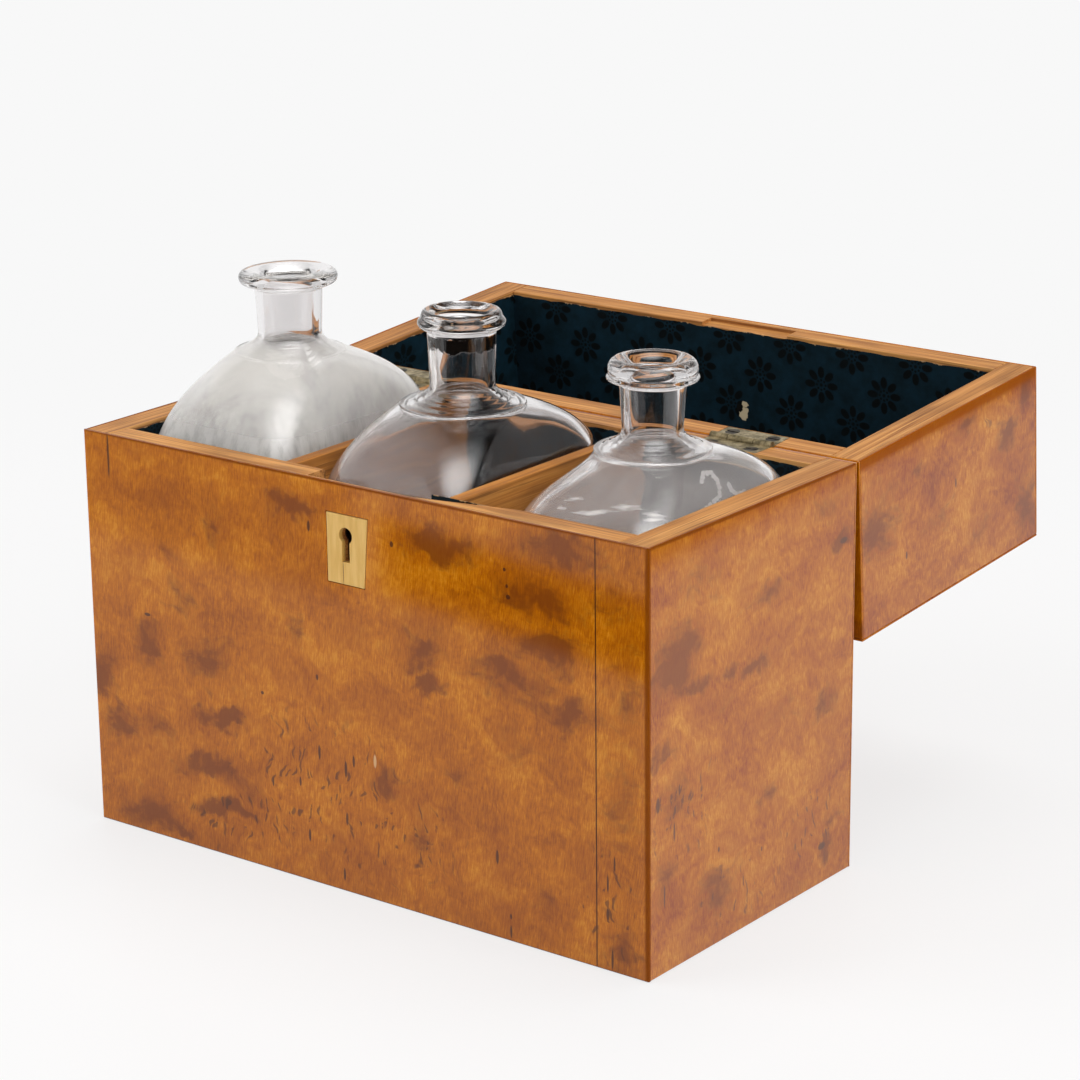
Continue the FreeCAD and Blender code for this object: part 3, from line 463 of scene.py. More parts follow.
def birchVeneer(name, s, origin, across, along):
    material = newMaterial("polished curly birch, " + name)
    place = sheetPlace(origin, across, along)
    leaf = birchSet
    # the leaf was cut from wavy wood, so its figure wanders by a few millimetres
    wander = noiseAt(place, 3.0, scale=1 / (leaf["wander"] * mm), out="Color")
    bent = movedBy(wander, (leaf["wander"] * mm,) * 3, place)

    clouds = sizedNoise(bent, leaf["clouds"], 6.0, 0.6)
    curl = sizedNoise(bent, leaf["curl"], 5.0, 0.6)
    flake = sizedNoise(bent, leaf["flake"], 4.0, 0.65)
    # short fibres that lean a little
    leaning = addNode("Mapping", {"Vector": place, "Rotation": (0, 0, math.radians(s["lean"]))})
    grain = sizedNoise(leaning, leaf["grain"], 3.0, 0.65)
    figure = 0.0
    for part, weight in zip((clouds, curl, flake, grain), s["figure"]):
        figure = maths("MULTIPLY_ADD", part, weight, figure)
    tones = toneRamp(figure, leaf["toneStops"], s["tones"])

    # brown curl marks where the photograph has them, broken up by the same figure
    frayed = sizedNoise(place, leaf["fray"], 3.0, out="Color")
    frayed = movedBy(frayed, leaf["frayReach"], bent)
    stain = maths("MULTIPLY_ADD", spotMask(frayed, s["stains"], 2.0), 1.3, -1.15)
    for part, weight in ((curl, 1.6), (flake, 0.7)):
        stain = maths("MULTIPLY_ADD", part, weight, stain)
    stain = ramped(stain, 0.44, 1.14, high=0.88, smooth=True)
    # reddish clouds between the marks
    blush = sizedNoise(bent, leaf["blush"], 5.0)
    blush = ramped(blush, 0.46, 0.72, high=0.36)
    tones = painted(blush, tones, s["blushTone"])
    tones = painted(stain, tones, s["stainTone"])

    # bark flecks: slanting dashes about 0.7 mm by 5 mm
    dashes = addNode("TexVoronoi", {
        "Vector": stretched(bent, leaf["dashes"]), "Scale": 1.0, "Randomness": 1.0,
    }, out="Distance", voronoi_dimensions="2D")
    dashes = ramped(dashes, 0.24, 0.10)
    region = times(spotMask(bent, s["flecks"], 1.2), 2.4)
    dashes = times(dashes, ramped(curl, 0.47, 0.53))
    dashes = times(dashes, region, clamp=True)
    # dark marks; on the front one of them is a line along the foot, partly painted contact shade
    marks = ramped(spotMask(place, s["marks"], 1.35), 0.15, 0.4)
    dark = maths("MAXIMUM", times(dashes, 0.75), marks)
    dark = times(dark, 0.85)
    tones = painted(dark, tones, s["fleckAndShadeTone"])
    if "chips" in s:
        chip = ramped(spotMask(place, s["chips"], 1.35), 0.15, 0.4)
        tones = painted(chip, tones, leaf["chipTone"])
    # darker, more saturated and less glossy along the edges: partly the veneer's own dark edge line, partly
    # painted shade where the rounded polish reflects less light
    edge = ramped(spotMask(place, s["edges"], 1.6), 0.1, 0.5, high=0.85)
    tones = painted(edge, tones, s["edgeLineAndShadeTone"])
    polish = maths("MULTIPLY_ADD", edge, -s["specular"], s["specular"])

    swell = bumped(sizedNoise(place, leaf["swell"], 2.0), 0.3, 0.10)
    pores = bumped(grain, 0.03, 0.06, swell)
    finishSurface({
        "Base Color": tones, "Roughness": leaf["roughness"], "Specular IOR Level": polish, "Normal": pores,
    })
    return material


birchFront = birchVeneer("front", birchSet["front"], boxMiddle, wayX, wayZ)
birchBack = birchVeneer("back", birchSet["side"], boxMiddle, wayX, wayZ)
birchSide = birchVeneer("ends", birchSet["side"], boxMiddle, wayY, wayZ)
birchLidEnd = birchVeneer("lid ends", birchSet["lid"], lidSet["hinge"], lidOut, lidUp)
# leaves from further up the same log, turned over, without the marks, chips, edge lines and painted edge
# shade that belong to one face
unmarked = {"marks": (), "edges": (), "chips": ()}
birchLidLong = birchVeneer(
    "lid front and back", {**birchSet["front"], **unmarked},
    Vector(lidSet["hinge"]) - lidUp * birchSet["otherLeaf"] * mm, -lidAcross, lidUp,
)
birchLidTop = birchVeneer(
    "lid top", {**birchSet["lid"], **unmarked}, lidSet["hinge"], lidOut, lidAcross,
)

# aged pine: soft brown, with darker summer lines, and dirt rubbed into the open rims
pineSet = {
    "tones": ("#9C652E", "#B67B3E", "#CB9352"),
    "lineTone": "#74441B",
    "grimeTone": "#5E391A",
    "lineSpacing": 1.8,
    "lineLength": 140,
    "fineSize": (0.7, 40, 0.7),
    "dirtSize": (14, 40, 14),
    "roughness": 0.55,
}


def agedPine(name, s, across, along, origin=boxMiddle):
    material = newMaterial(name)
    place = sheetPlace(origin, across, along)
    apart = s["lineSpacing"]
    lines = sizedNoise(place, (apart, s["lineLength"], apart * 2), 3.0, 0.6)
    body = toneRamp(lines, (0.36, 0.5, 0.64), s["tones"])
    fine = sizedNoise(place, s["fineSize"], 2.0)
    hard = ramped(fine, 0.52, 0.68, high=0.8)
    body = painted(hard, body, s["lineTone"])
    dirt = sizedNoise(place, s["dirtSize"], 5.0)
    dirt = ramped(dirt, 0.50, 0.72, high=0.5)
    body = painted(dirt, body, s["grimeTone"])
    finishSurface({
        "Base Color": body, "Roughness": s["roughness"], "Specular IOR Level": 0.35,
        "Normal": bumped(fine, 0.4, 0.12),
    })
    return material


pineLong = agedPine("aged pine, long boards", pineSet, wayY, wayX)
pineEnd = agedPine("aged pine, end boards", pineSet, wayX, wayY)
pineLidEnd = agedPine("aged pine, lid end rails", pineSet, lidAcross, lidOut, lidSet["hinge"])
dividerSet = dict(pineSet, tones=("#9A6024", "#AF702C", "#C0823A"), lineTone="#7C4A18", lineSpacing=1.3)
pineDivider = agedPine("rough sawn pine, dividers", dividerSet, wayZ, wayY)
print("wood made")

# printed lining paper: thin dyed sheet, dark teal with a near black flower print and a torn pale edge
paperSet = {
    "teal": ("#05171E", "#0A2430"),
    "printTone": "#020506",
    "tornTone": "#A98B66",
    "flapTone": "#C9B896",
    "holeTone": "#0B0805",
    "halfStep": (15.3, 14.75),
    "petalMiddle": 5.5,
    "petalHalf": (2.6, 1.6),
    "dotRing": 2.1,
    "dotHalf": (0.55, 0.55),
    "petals": 8,
    "blotSize": 9.0,
    "raggedSize": 6.0,
    "raggedReach": (7.0, -4.0),
    "tornFrom": (0.6, 0.2),
    "flapFray": 3.0,
    "flapShift": 1.2,
    "roughness": 0.62,
}


def printedPaper(name, origin, across, along, rim, flaps=(), holes=()):
    # origin is the middle of one flower; rim is how far along from there the torn edge is, in millimetres
    s = paperSet
    material = newMaterial("printed lining paper, " + name)
    place = sheetPlace(origin, across, along)
    apart = addNode("SeparateXYZ", {"Vector": place}).node.outputs
    across = times(apart["X"], 1 / (2 * s["halfStep"][0] * mm))
    along = times(apart["Y"], 1 / (2 * s["halfStep"][1] * mm))
    # flowers stand in staggered rows: fold both diagonals to one flower
    first = maths("WRAP", maths("ADD", along, across), -0.5, 0.5)
    second = maths("WRAP", maths("SUBTRACT", along, across), -0.5, 0.5)
    localX = times(maths("SUBTRACT", first, second), s["halfStep"][0])
    localY = times(maths("ADD", first, second), s["halfStep"][1])
    angle = maths("ARCTAN2", localY, localX)
    angle = maths("WRAP", angle, -math.pi / s["petals"], math.pi / s["petals"])
    flat = addNode("CombineXYZ", {"X": localX, "Y": localY})
    reach = vectors("LENGTH", flat, out="Value")
    outward = times(maths("COSINE", angle), reach)
    aside = times(maths("SINE", angle), reach)
    spoke = addNode("CombineXYZ", {"X": outward, "Y": aside})
    printed = ramped(reach, 0.9, 0.6)
    for middle, (length, width) in ((s["petalMiddle"], s["petalHalf"]), (s["dotRing"], s["dotHalf"])):
        oval = vectors("MULTIPLY_ADD", spoke, (1 / length, 1 / width, 0), (-middle / length, 0, 0))
        oval = ramped(vectors("LENGTH", oval, out="Value"), 1.08, 0.88)
        printed = maths("MAXIMUM", printed, oval)
    blot = noiseAt(place, 5.0, 0.65, scale=1 / (s["blotSize"] * mm))
    teal = toneRamp(blot, (0.35, 0.65), s["teal"])
    ink = times(ramped(blot, 0.2, 0.5, low=0.8), printed)
    colour = painted(ink, teal, s["printTone"])
    # the dyed skin is rubbed off along the edge
    ragged = noiseAt(place, 4.0, 0.7, scale=1 / (s["raggedSize"] * mm))
    ragged = maths("MULTIPLY_ADD", ragged, *(reach * mm for reach in s["raggedReach"]))
    torn = maths("ADD", apart["Y"], ragged)
    torn = ramped(torn, *((rim - inset) * mm for inset in s["tornFrom"]))
    colour = painted(torn, colour, s["tornTone"])
    # a torn place: the pale back of the paper, and the dark board behind it
    if flaps:
        curled = vectors("ADD", place, (s["flapShift"] * mm,) * 3)
        frayed = noiseAt(curled, 3.0, scale=1 / (s["flapFray"] * mm), out="Color")
        frayed = movedBy(frayed, (s["flapFray"] * mm,) * 3, place)
        for spots, tone in ((flaps, s["flapTone"]), (holes, s["holeTone"])):
            patch = ramped(spotMask(frayed, spots, 1.3), 0.2, 0.3)
            colour = painted(patch, colour, tone)
    finishSurface({
        "Base Color": colour, "Roughness": s["roughness"], "Specular IOR Level": 0.12,
        "Normal": bumped(blot, 0.35, 0.25),
    })
    return material


def lidPoint(across, out, up):
    return lidFrame @ Vector((across * mm, out * mm, up * mm))


# on the lid the print's along runs from the ceiling to the rim, which is downwards in the lid's own frame
lidDown = -lidUp
paperLidLong = printedPaper(
    "lid front", lidPoint(9, -122, 19.15), lidAcross, lidDown, 17.8,
    flaps=((-9.0, -18.8, 2.2, 3.2, 1), (-8.4, -14.4, 2.0, 1.4, 1)), holes=((-11.0, -16.4, 1.7, 2.0, 1),),
)
paperLidEnd = printedPaper("lid ends", lidPoint(122, -60, 26), lidOut, lidDown, 24.6)
paperLidTop = printedPaper("lid top", lidPoint(9, -60, 63), lidAcross, lidOut, 400)
paperCaseLong = printedPaper("bay front and back", (5 * mm, 0, 146 * mm), wayX, wayZ, 14.8)
paperCaseEnd = printedPaper("bay ends", (0, 5 * mm, 143 * mm), wayY, wayZ, 17.8)
print("paper made")

# tarnished brass, iron browned by old rust, and yellowed bone
metalSet = {
    "brass": {"tones": ("#4E452E", "#7E7152", "#A39371"), "roughness": (0.36, 0.58), "metallic": 0.45},
    "iron": {"tones": ("#33241A", "#513A29", "#6E5139"), "roughness": (0.5, 0.7), "metallic": 0.4},
    "screw": {"tones": ("#17130E", "#2A241A", "#463C2A"), "roughness": (0.4, 0.6), "metallic": 0.5},
    "filmSize": 3.5,
}


def agedMetal(name, s):
    # cast and filed long ago: brown film with brighter rubbed places
    material = newMaterial(name)
    place = addNode("TexCoord", out="Object")
    film = noiseAt(place, 5.0, 0.65, scale=1 / (metalSet["filmSize"] * mm))
    tones = toneRamp(film, (0.36, 0.5, 0.64), s["tones"])
    dull = ramped(film, 0.65, 0.35, low=s["roughness"][0], high=s["roughness"][1])
    finishSurface({
        "Base Color": tones, "Metallic": s["metallic"], "Roughness": dull, "Normal": bumped(film, 0.3, 0.1),
    })
    return material


agedBrass = agedMetal("tarnished brass", metalSet["brass"])
brownIron = agedMetal("browned iron", metalSet["iron"])
darkScrew = agedMetal("blackened brass screws", metalSet["screw"])

boneSet = {
    "tones": ("#CBA053", "#D3AA5E", "#DAB269"),
    "streakSize": (1.6, 14, 3),
    "crackTone": "#6A4C24",
    "cracks": ((-3.4, 128.6, 0.16, 5.2, 1), (-1.6, 134.2, 0.14, 2.0, 1)),
    "roughness": 0.3,
}


def yellowBone(name, s):
    # sawn and polished bone: even yellow, faint long streaks, hairline cracks below the keyhole
    material = newMaterial(name)
    place = sheetPlace(boxMiddle, wayX, wayZ)
    streak = sizedNoise(place, s["streakSize"], 4.0)
    tones = toneRamp(streak, (0.34, 0.5, 0.66), s["tones"])
    crack = ramped(spotMask(place, s["cracks"], 1.4), 0.1, 0.4)
    tones = painted(crack, tones, s["crackTone"])
    finishSurface({
        "Base Color": tones, "Roughness": s["roughness"], "Specular IOR Level": 0.4,
        "Normal": bumped(streak, 0.1, 0.1),
        "Subsurface Weight": 0.08, "Subsurface Radius": (1.0, 0.6, 0.3), "Subsurface Scale": 0.8 * mm,
    })
    return material


polishedBone = yellowBone("yellowed bone", boneSet)
print("metal and bone made")


# how the copies are welded, flattened and rounded, in millimetres and degrees
wearSet = {"weld": 0.01, "flat": 0.5, "smooth": 35, "corner": 50, "onFace": 0.02, "atRim": 0.05}


def takeCopy(node):
    # a merged copy of a CAD node's mesh, the only thing selected
    bpy.ops.object.select_all(action="DESELECT")
    piece = bpy.data.objects.new(node + "Worn", nodes[node].data.copy())
    bpy.context.scene.collection.objects.link(piece)
    bpy.context.view_layer.objects.active = piece
    piece.select_set(True)
    bpy.ops.mesh.customdata_custom_splitnormals_clear()
    bpy.ops.object.mode_set(mode="EDIT")
    bpy.ops.mesh.select_all(action="SELECT")
    bpy.ops.mesh.remove_doubles(threshold=wearSet["weld"] * mm)
    bpy.ops.mesh.dissolve_limited(angle_limit=math.radians(wearSet["flat"]))
    bpy.ops.object.mode_set(mode="OBJECT")
    return piece


def finishPiece(piece, material, node):
    piece.data.materials.clear()
    piece.data.materials.append(material)
    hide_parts(node)
    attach(piece, bodyOf[node])


def keepFlat(piece):
    # smooth shading over the worn corners that leaves the broad faces flat
    bpy.ops.object.shade_smooth_by_angle(angle=math.radians(wearSet["smooth"]))
    flat = piece.modifiers.new("flat", "WEIGHTED_NORMAL")
    flat.weight = 100
    flat.keep_sharp = True
    bpy.ops.object.modifier_apply(modifier="flat")


def frameOf(node):
    return lidFrame if node.startswith("lid_") else caseFrame


def roundEdges(piece, width, segments, method):
    wear = piece.modifiers.new("wear", "BEVEL")
    wear.limit_method = method
    wear.angle_limit = math.radians(wearSet["corner"])
    wear.width = width * mm
    wear.segments = segments
    bpy.ops.object.modifier_apply(modifier="wear")


def boardBox(piece, back):
    # the vertices in the frame that the board stands square in, with their lowest and highest corner
    points = [back @ vertex.co for vertex in piece.data.vertices]
    low, high = (Vector([pick(point[axis] for point in points) for axis in range(3)]) for pick in (min, max))
    return points, low, high


def markOutline(piece, frameOfPiece):
    # weights only the edges along the board's outside corners, so beds and holes stay crisp
    points, low, high = boardBox(piece, frameOfPiece.inverted())
    weights = piece.data.attributes.new("bevel_weight_edge", "FLOAT", "EDGE").data
    for edge in piece.data.edges:
        ends = [points[index] for index in edge.vertices]
        onFaces = sum(
            all(abs(end[axis] - side[axis]) < wearSet["onFace"] * mm for end in ends)
            for axis in range(3) for side in (low, high)
        )
        weights[edge.index].value = 1.0 if onFaces >= 2 else 0.0


# boards and veneers with their sharp corners worn round: material, width of the wear in millimetres
wornSet = {
    "left_wall": (pineEnd, 0.5), "right_wall": (pineEnd, 0.5),
    "front_wall": (pineLong, 0.4), "back_wall": (pineLong, 0.15),
    "base_board": (pineLong, 0.8),
    "divider_left": (pineDivider, 0.7), "divider_right": (pineDivider, 0.7),
    "front_veneer": (birchFront, 0.45), "front_veneer_strip": (birchFront, 0.45),
    "back_veneer": (birchBack, 0.45),
    "left_veneer": (birchSide, 0.35), "right_veneer": (birchSide, 0.35),
    "lid_front_rail": (pineLong, 0.5), "lid_back_rail": (pineLong, 0.15),
    "lid_left_rail": (pineLidEnd, 0.5), "lid_right_rail": (pineLidEnd, 0.5),
    "lid_front_veneer": (birchLidLong, 0.45), "lid_back_veneer": (birchLidLong, 0.45),
    "lid_left_veneer": (birchLidEnd, 0.35), "lid_right_veneer": (birchLidEnd, 0.35),
    "lid_top_veneer": (birchLidTop, 0.45),
}
# boards cut for the lock and the hinges: each face of a bed is shaded flat
bedded = ("front_wall", "back_wall", "lid_front_rail", "lid_back_rail")
for node, (material, width) in wornSet.items():
    piece = takeCopy(node)
    markOutline(piece, frameOf(node))
    roundEdges(piece, width, 3, "WEIGHT")
    if node in bedded:
        bpy.ops.object.shade_flat()
    else:
        keepFlat(piece)
    finishPiece(piece, material, node)

# key plate and hinge leaves, filed smooth along every edge
filedSet = {
    "escutcheon": (polishedBone, 0.25),
    "hinge_left_case_leaf": (agedBrass, 0.15), "hinge_right_case_leaf": (agedBrass, 0.15),
    "hinge_left_lid_leaf": (agedBrass, 0.15), "hinge_right_lid_leaf": (agedBrass, 0.15),
}
for node, (material, width) in filedSet.items():
    piece = takeCopy(node)
    roundEdges(piece, width, 2, "ANGLE")
    keepFlat(piece)
    finishPiece(piece, material, node)

# small and hidden pieces keep their CAD shape
for material, kept in (
    (pineLong, ("lid_top_panel",)),
    (agedBrass, ("hinge_left_pin", "hinge_right_pin")),
    (darkScrew, ("hinge_case_screws", "hinge_lid_screws")),
    (brownIron, ("lock_plate", "lock_case", "lock_key_post", "lock_bolt", "lock_spring", "lock_screws")),
):
    for node in kept:
        nodes[node].material_slots[0].material = material
print("boards and metalwork done")

# lining sheets: thin paper pasted to the boards, its free edge torn by use
liningSet = {
    "lining_front": paperCaseLong, "lining_back": paperCaseLong,
    "lining_left": paperCaseEnd, "lining_right": paperCaseEnd,
    "lid_lining_front": paperLidLong, "lid_lining_back": paperLidLong,
    "lid_lining_left": paperLidEnd, "lid_lining_right": paperLidEnd,
}
tearSet = {"pieces": 3.0, "depth": 0.7, "scales": (130, 420)}
for node, material in liningSet.items():
    piece = takeCopy(node)
    frameOfPiece = frameOf(node)
    back = frameOfPiece.inverted()
    points, low, high = boardBox(piece, back)
    upright = 2
    run = max(range(2), key=lambda axis: high[axis] - low[axis])
    rimAbove = frameOfPiece is caseFrame  # the lid's rim is its lower edge
    if len(points) == 8:
        bpy.ops.object.mode_set(mode="EDIT")
        cuts = round((high[run] - low[run]) / (tearSet["pieces"] * mm))
        step = (high[run] - low[run]) / cuts
        normal = frameOfPiece.to_3x3() @ Vector((wayX, wayY)[run])
        for cut in range(1, cuts):
            at = low.copy()
            at[run] += cut * step
            bpy.ops.mesh.select_all(action="SELECT")
            bpy.ops.mesh.bisect(plane_co=frameOfPiece @ at, plane_no=normal)
        work = bmesh.from_edit_mesh(piece.data)
        rim = high[upright] if rimAbove else low[upright]
        for vertex in work.verts:
            local = back @ vertex.co
            if abs(local[upright] - rim) < wearSet["atRim"] * mm:
                coarse, fine = (noise.noise(local * scale) for scale in tearSet["scales"])
                bite = max(tearSet["depth"] * mm * (0.5 + coarse + 0.5 * fine), 0.0)
                local[upright] += -bite if rimAbove else bite
                vertex.co = frameOfPiece @ local
        bmesh.update_edit_mesh(piece.data)
        bpy.ops.object.mode_set(mode="OBJECT")
    finishPiece(piece, material, node)
nodes["lid_lining_top"].material_slots[0].material = paperLidTop
print("linings done")

# hand-blown clear glass: faint grey tint, wavy skin, white and black deposits dried on the inside
glassSet = {
    "tint": "#F3F1F1",
    "shade": "#E9E7E6",
    "ior": 1.5,
    "roughness": 0.015,
    "waveSize": 13.0,
    "waveHeight": 0.10,
    # streaks and deposit, in millimetres
    "streakSize": (3.0, 3.0, 26),
    "streakFade": 50,
    "rubSize": (7, 1.4, 9),
    "jagSize": 7,
    "jagReach": 13,
    "outFrom": (-22 * mm, -18 * mm),
}
depositSet = {
    # the film, from its top height down over its fade, with its least and greatest cover: haze, and on the
    # middle bottle painted reflection; heights are above the box's foot
    "left": {
        "filmTop": 197.0, "filmFade": 10.0, "cover": (0.50, 0.84), "tone": "#C9C8C2", "blotch": 30.0,
        "dull": 0.22, "streaks": (178.0, 146.0, 0.8, 0.3), "streakTone": "#80817D",
    },
    "leftSkin": {
        "filmTop": 187.0, "filmFade": 34.0, "cover": (0.06, 0.26), "tone": "#C3C3BD", "blotch": 24.0,
        "dull": 0.40, "streaks": (180.0, 150.0, 0.8, 0.3), "streakTone": "#6E706B",
    },
    "middle": {
        # painted reflection: the brown film on the middle bottle's front-left stands for the case's wood seen
        # in the glass; the black band is a real crust
        "filmTop": 188.0, "filmFade": 16.0, "cover": (0.16, 0.30), "tone": "#8C6650", "blotch": 30.0,
        "dull": 0.08, "depositAndReflectionTint": 1.9, "toward": (-0.45, -0.90, 12.0, 42.0),
        "band": (200.0, 207.2), "bandTone": "#0D0906",
    },
    "right": {
        "filmTop": 182.0, "filmFade": 16.0, "cover": (0.12, 0.22), "tone": "#D4C7B8", "blotch": 26.0,
        "dull": 0.08,
        # dried runs and a rubbed patch on the side that faces out: middle, across and up, then spots
        "outSide": ((108 * mm, -10 * mm, 165 * mm), (0.794, 0.607, 0.0), (-0.171, 0.239, 0.956)),
        "runTone": "#D6D4D0",
        "runs": (
            ((6.0, 2.2), (6.7, 5.1), (9.6, 5.4), (11.4, 3.3), (12.4, 0.4), (12.4, -2.5), (10.3, -4.3),
             (7.4, -6.8), (4.2, -8.6)),
            ((16.0, 1.5), (16.8, -0.3), (18.9, -1.4), (21.4, -0.7), (23.9, 0.0)),
        ),
        "rubbed": (
            (-30, -9, 10, 2.2, 1), (-20, -7, 8, 2.2, 1), (-11, -10, 7, 2.4, 1), (-38, -4, 7, 1.8, 0.9),
            (-44, -7, 4, 2.2, 0.9),
        ),
    },
}


def glassSurface(base, transmission, roughness):
    place = addNode("TexCoord", out="Object")
    waves = noiseAt(place, 1.0, scale=1 / (glassSet["waveSize"] * mm))
    glass = addNode("BsdfPrincipled", {
        "Base Color": base, "Roughness": roughness, "IOR": glassSet["ior"],
        "Transmission Weight": transmission, "Normal": bumped(waves, 0.5, glassSet["waveHeight"]),
    })
    # light from the lamps passes on through, so what stands behind the glass is lit
    lampRay = addNode("LightPath").node.outputs["Is Shadow Ray"]
    through = times(lampRay, transmission)
    passing = addNode("BsdfTransparent", {"Color": linear(glassSet["shade"])})
    surface = addNode("MixShader", {0: through, 1: glass, 2: passing})
    addNode("OutputMaterial", {"Surface": surface})


clearGlass = newMaterial("hand-blown clear glass")
glassSurface(linear(glassSet["tint"]), 1.0, glassSet["roughness"])


def filmedGlass(name, s):
    material = newMaterial(name)
    place = addNode("TexCoord", out="Object")
    height = addNode("SeparateXYZ", {"Vector": place}, out="Z")
    blotch = noiseAt(place, 6.0, 0.62, scale=1 / (s["blotch"] * mm), distortion=0.6)
    cover = ramped(blotch, 0.32, 0.66, low=s["cover"][0], high=s["cover"][1], smooth=True)
    below = ramped(height, s["filmTop"] * mm, (s["filmTop"] - s["filmFade"]) * mm, smooth=True)
    cover = times(cover, below)
    if "toward" in s:
        # painted reflection: the film is kept to the front-left side, where the glass reflects the brown wood
        # of the case
        across, out, start, full = s["toward"]
        leaning = vectors("DOT_PRODUCT", place, (across, out, 0), out="Value")
        leaning = ramped(leaning, start * mm, full * mm, smooth=True)
        cover = times(cover, leaning)
    # the tint can outweigh the cloud: residue on the left and right bottles, painted reflection of the wood
    # on the middle one
    depositAndReflectionTint = times(cover, s.get("depositAndReflectionTint", 1.0), clamp=True)
    tone = painted(depositAndReflectionTint, linear(glassSet["tint"]), s["tone"])
    if "streaks" in s:
        # grey streaks, darker towards the bottom: from the first height to full at the second, thinning out
        # towards the foot
        start, full, most, least = s["streaks"]
        runs = sizedNoise(place, glassSet["streakSize"], 5.0, 0.65)
        runs = ramped(runs, 0.44, 0.66)
        low = ramped(height, start * mm, full * mm, high=most)
        thin = ramped(height, (full - glassSet["streakFade"]) * mm, full * mm, low=least, smooth=True)
        runs = times(runs, times(low, thin))
        tone = painted(runs, tone, s["streakTone"])
    if "band" in s:
        # black crust left by a stopper, ragged along its lower edge
        jag = noiseAt(place, 5.0, 0.7, scale=1 / (glassSet["jagSize"] * mm))
        jagged = glassSet["jagReach"]
        lower = maths("MULTIPLY_ADD", jag, jagged * mm, (s["band"][0] - jagged / 2) * mm)
        over = ramped(maths("SUBTRACT", height, lower), 0.0, 0.4 * mm)
        under = ramped(height, s["band"][1] * mm, (s["band"][1] - 0.8) * mm)
        crust = times(over, under)
        tone = painted(crust, tone, s["bandTone"])
        cover = maths("MAXIMUM", cover, crust)
    if "runs" in s:
        flat = sheetPlace(*s["outSide"])
        outer = addNode("SeparateXYZ", {"Vector": flat}, out="Z")
        outer = ramped(outer, *glassSet["outFrom"])
        rough = maths("SUBTRACT", sizedNoise(flat, glassSet["rubSize"], 5.0), 0.5)
        beads = [
            (x + (nextX - x) * share, y + (nextY - y) * share, 1.3, 1.3, 1)
            for run in s["runs"] for (x, y), (nextX, nextY) in zip(run, run[1:]) for share in (0, 0.5)
        ]
        for spots, fray, full, most in ((beads, 0.5, 0.66, 0.5), (s["rubbed"], 1.6, 1.1, 0.75)):
            white = maths("MULTIPLY_ADD", rough, fray, spotMask(flat, spots, 1.6))
            white = times(ramped(white, 0.40, full, high=most), outer)
            tone = painted(white, tone, s["runTone"])
            cover = maths("MAXIMUM", cover, white)
    clear = maths("SUBTRACT", 1.0, cover)
    roughness = ramped(below, 0.0, 1.0, low=glassSet["roughness"], high=s["dull"])
    glassSurface(tone, clear, roughness)
    return material


# bottle sizes in millimetres, heights above the bottle's own foot; lips are radius and height from the top
bottleSet = {
    "ringPoints": 96, "stand": 9.2, "wall": 2.6, "floor": 6.0, "footRound": 3.0, "corner": 13.0,
    "collar": 8.0, "ripple": 0.22, "fullSide": 42.0, "wobble": (0.35, 0.9), "wobbleSize": (38.0, 24.0),
    "wobbleFull": 60.0, "wobbleSeed": 7,
    "left": {
        "centre": (-83.0, -3.0), "body": (72.8, 99.0), "shoulder": 135.8, "crease": (21.7, 179.0),
        "tall": 211.4, "neck": (24.8, 26.8), "bore": 19.6, "dome": ((2.3, 1.0), (3.8, 1.0)),
        "fold": (-26.0, 10.0, 2.4),
        "lip": ((13.4, -6.4), (16.6, -5.6), (18.9, -4.6), (19.5, -3.0), (19.3, -1.4), (18.2, -0.3),
                (16.0, 0.0), (13.4, -0.1), (11.4, -0.8), (10.2, -2.2), (9.8, -5.0)),
    },
    "middle": {
        "centre": (0.0, 1.0), "body": (72.8, 98.6), "shoulder": 130.8, "crease": (24.0, 169.5),
        "tall": 206.0, "neck": (24.8, 26.4), "bore": 19.6, "dome": ((2.4, 1.0), (4.4, 1.0)),
        "fold": (-70.0, 30.0, 0.5),
        "lip": ((13.2, -7.5), (16.2, -6.6), (16.9, -5.4), (16.5, -4.0), (15.6, -3.2), (15.4, -2.2),
                (15.0, -0.9), (13.9, -0.15), (12.6, -0.2), (11.2, -0.9), (10.2, -2.2), (9.8, -4.0)),
    },
    "right": {
        "centre": (85.3, 5.5), "body": (70.8, 96.0), "shoulder": 125.8, "crease": (21.6, 164.2),
        "tall": 198.6, "neck": (22.6, 25.0), "bore": 17.6, "dome": ((4.0, 2.6), (4.6, 1.0)),
        "fold": (-20.0, 40.0, 0.8),
        "lip": ((12.5, -9.0), (15.6, -8.5), (17.2, -7.9), (17.4, -7.2), (16.9, -6.5), (16.5, -6.0),
                (16.9, -4.5), (16.6, -2.6), (15.4, -0.9), (13.6, -0.1), (11.6, -0.5), (10.0, -1.8),
                (9.0, -3.6), (8.8, -6.0)),
    },
}


def ringReach(angle, halfX, halfY, corner):
    # how far a ray from the middle goes before it meets a rectangle with rounded corners
    dx, dy = abs(math.cos(angle)), abs(math.sin(angle))
    if dx * halfY > dy * halfX and halfX * dy / dx <= halfY - corner:
        return halfX / dx
    if dy * halfX >= dx * halfY and halfY * dx / dy <= halfX - corner:
        return halfY / dy
    toCorner = Vector((halfX - corner, halfY - corner))
    onRay = dx * toCorner.x + dy * toCorner.y
    return onRay + math.sqrt(max(onRay ** 2 - toCorner.length_squared + corner ** 2, 0.0))


def roundRing(height, radius, inside=False):
    return height, radius, radius, radius, inside


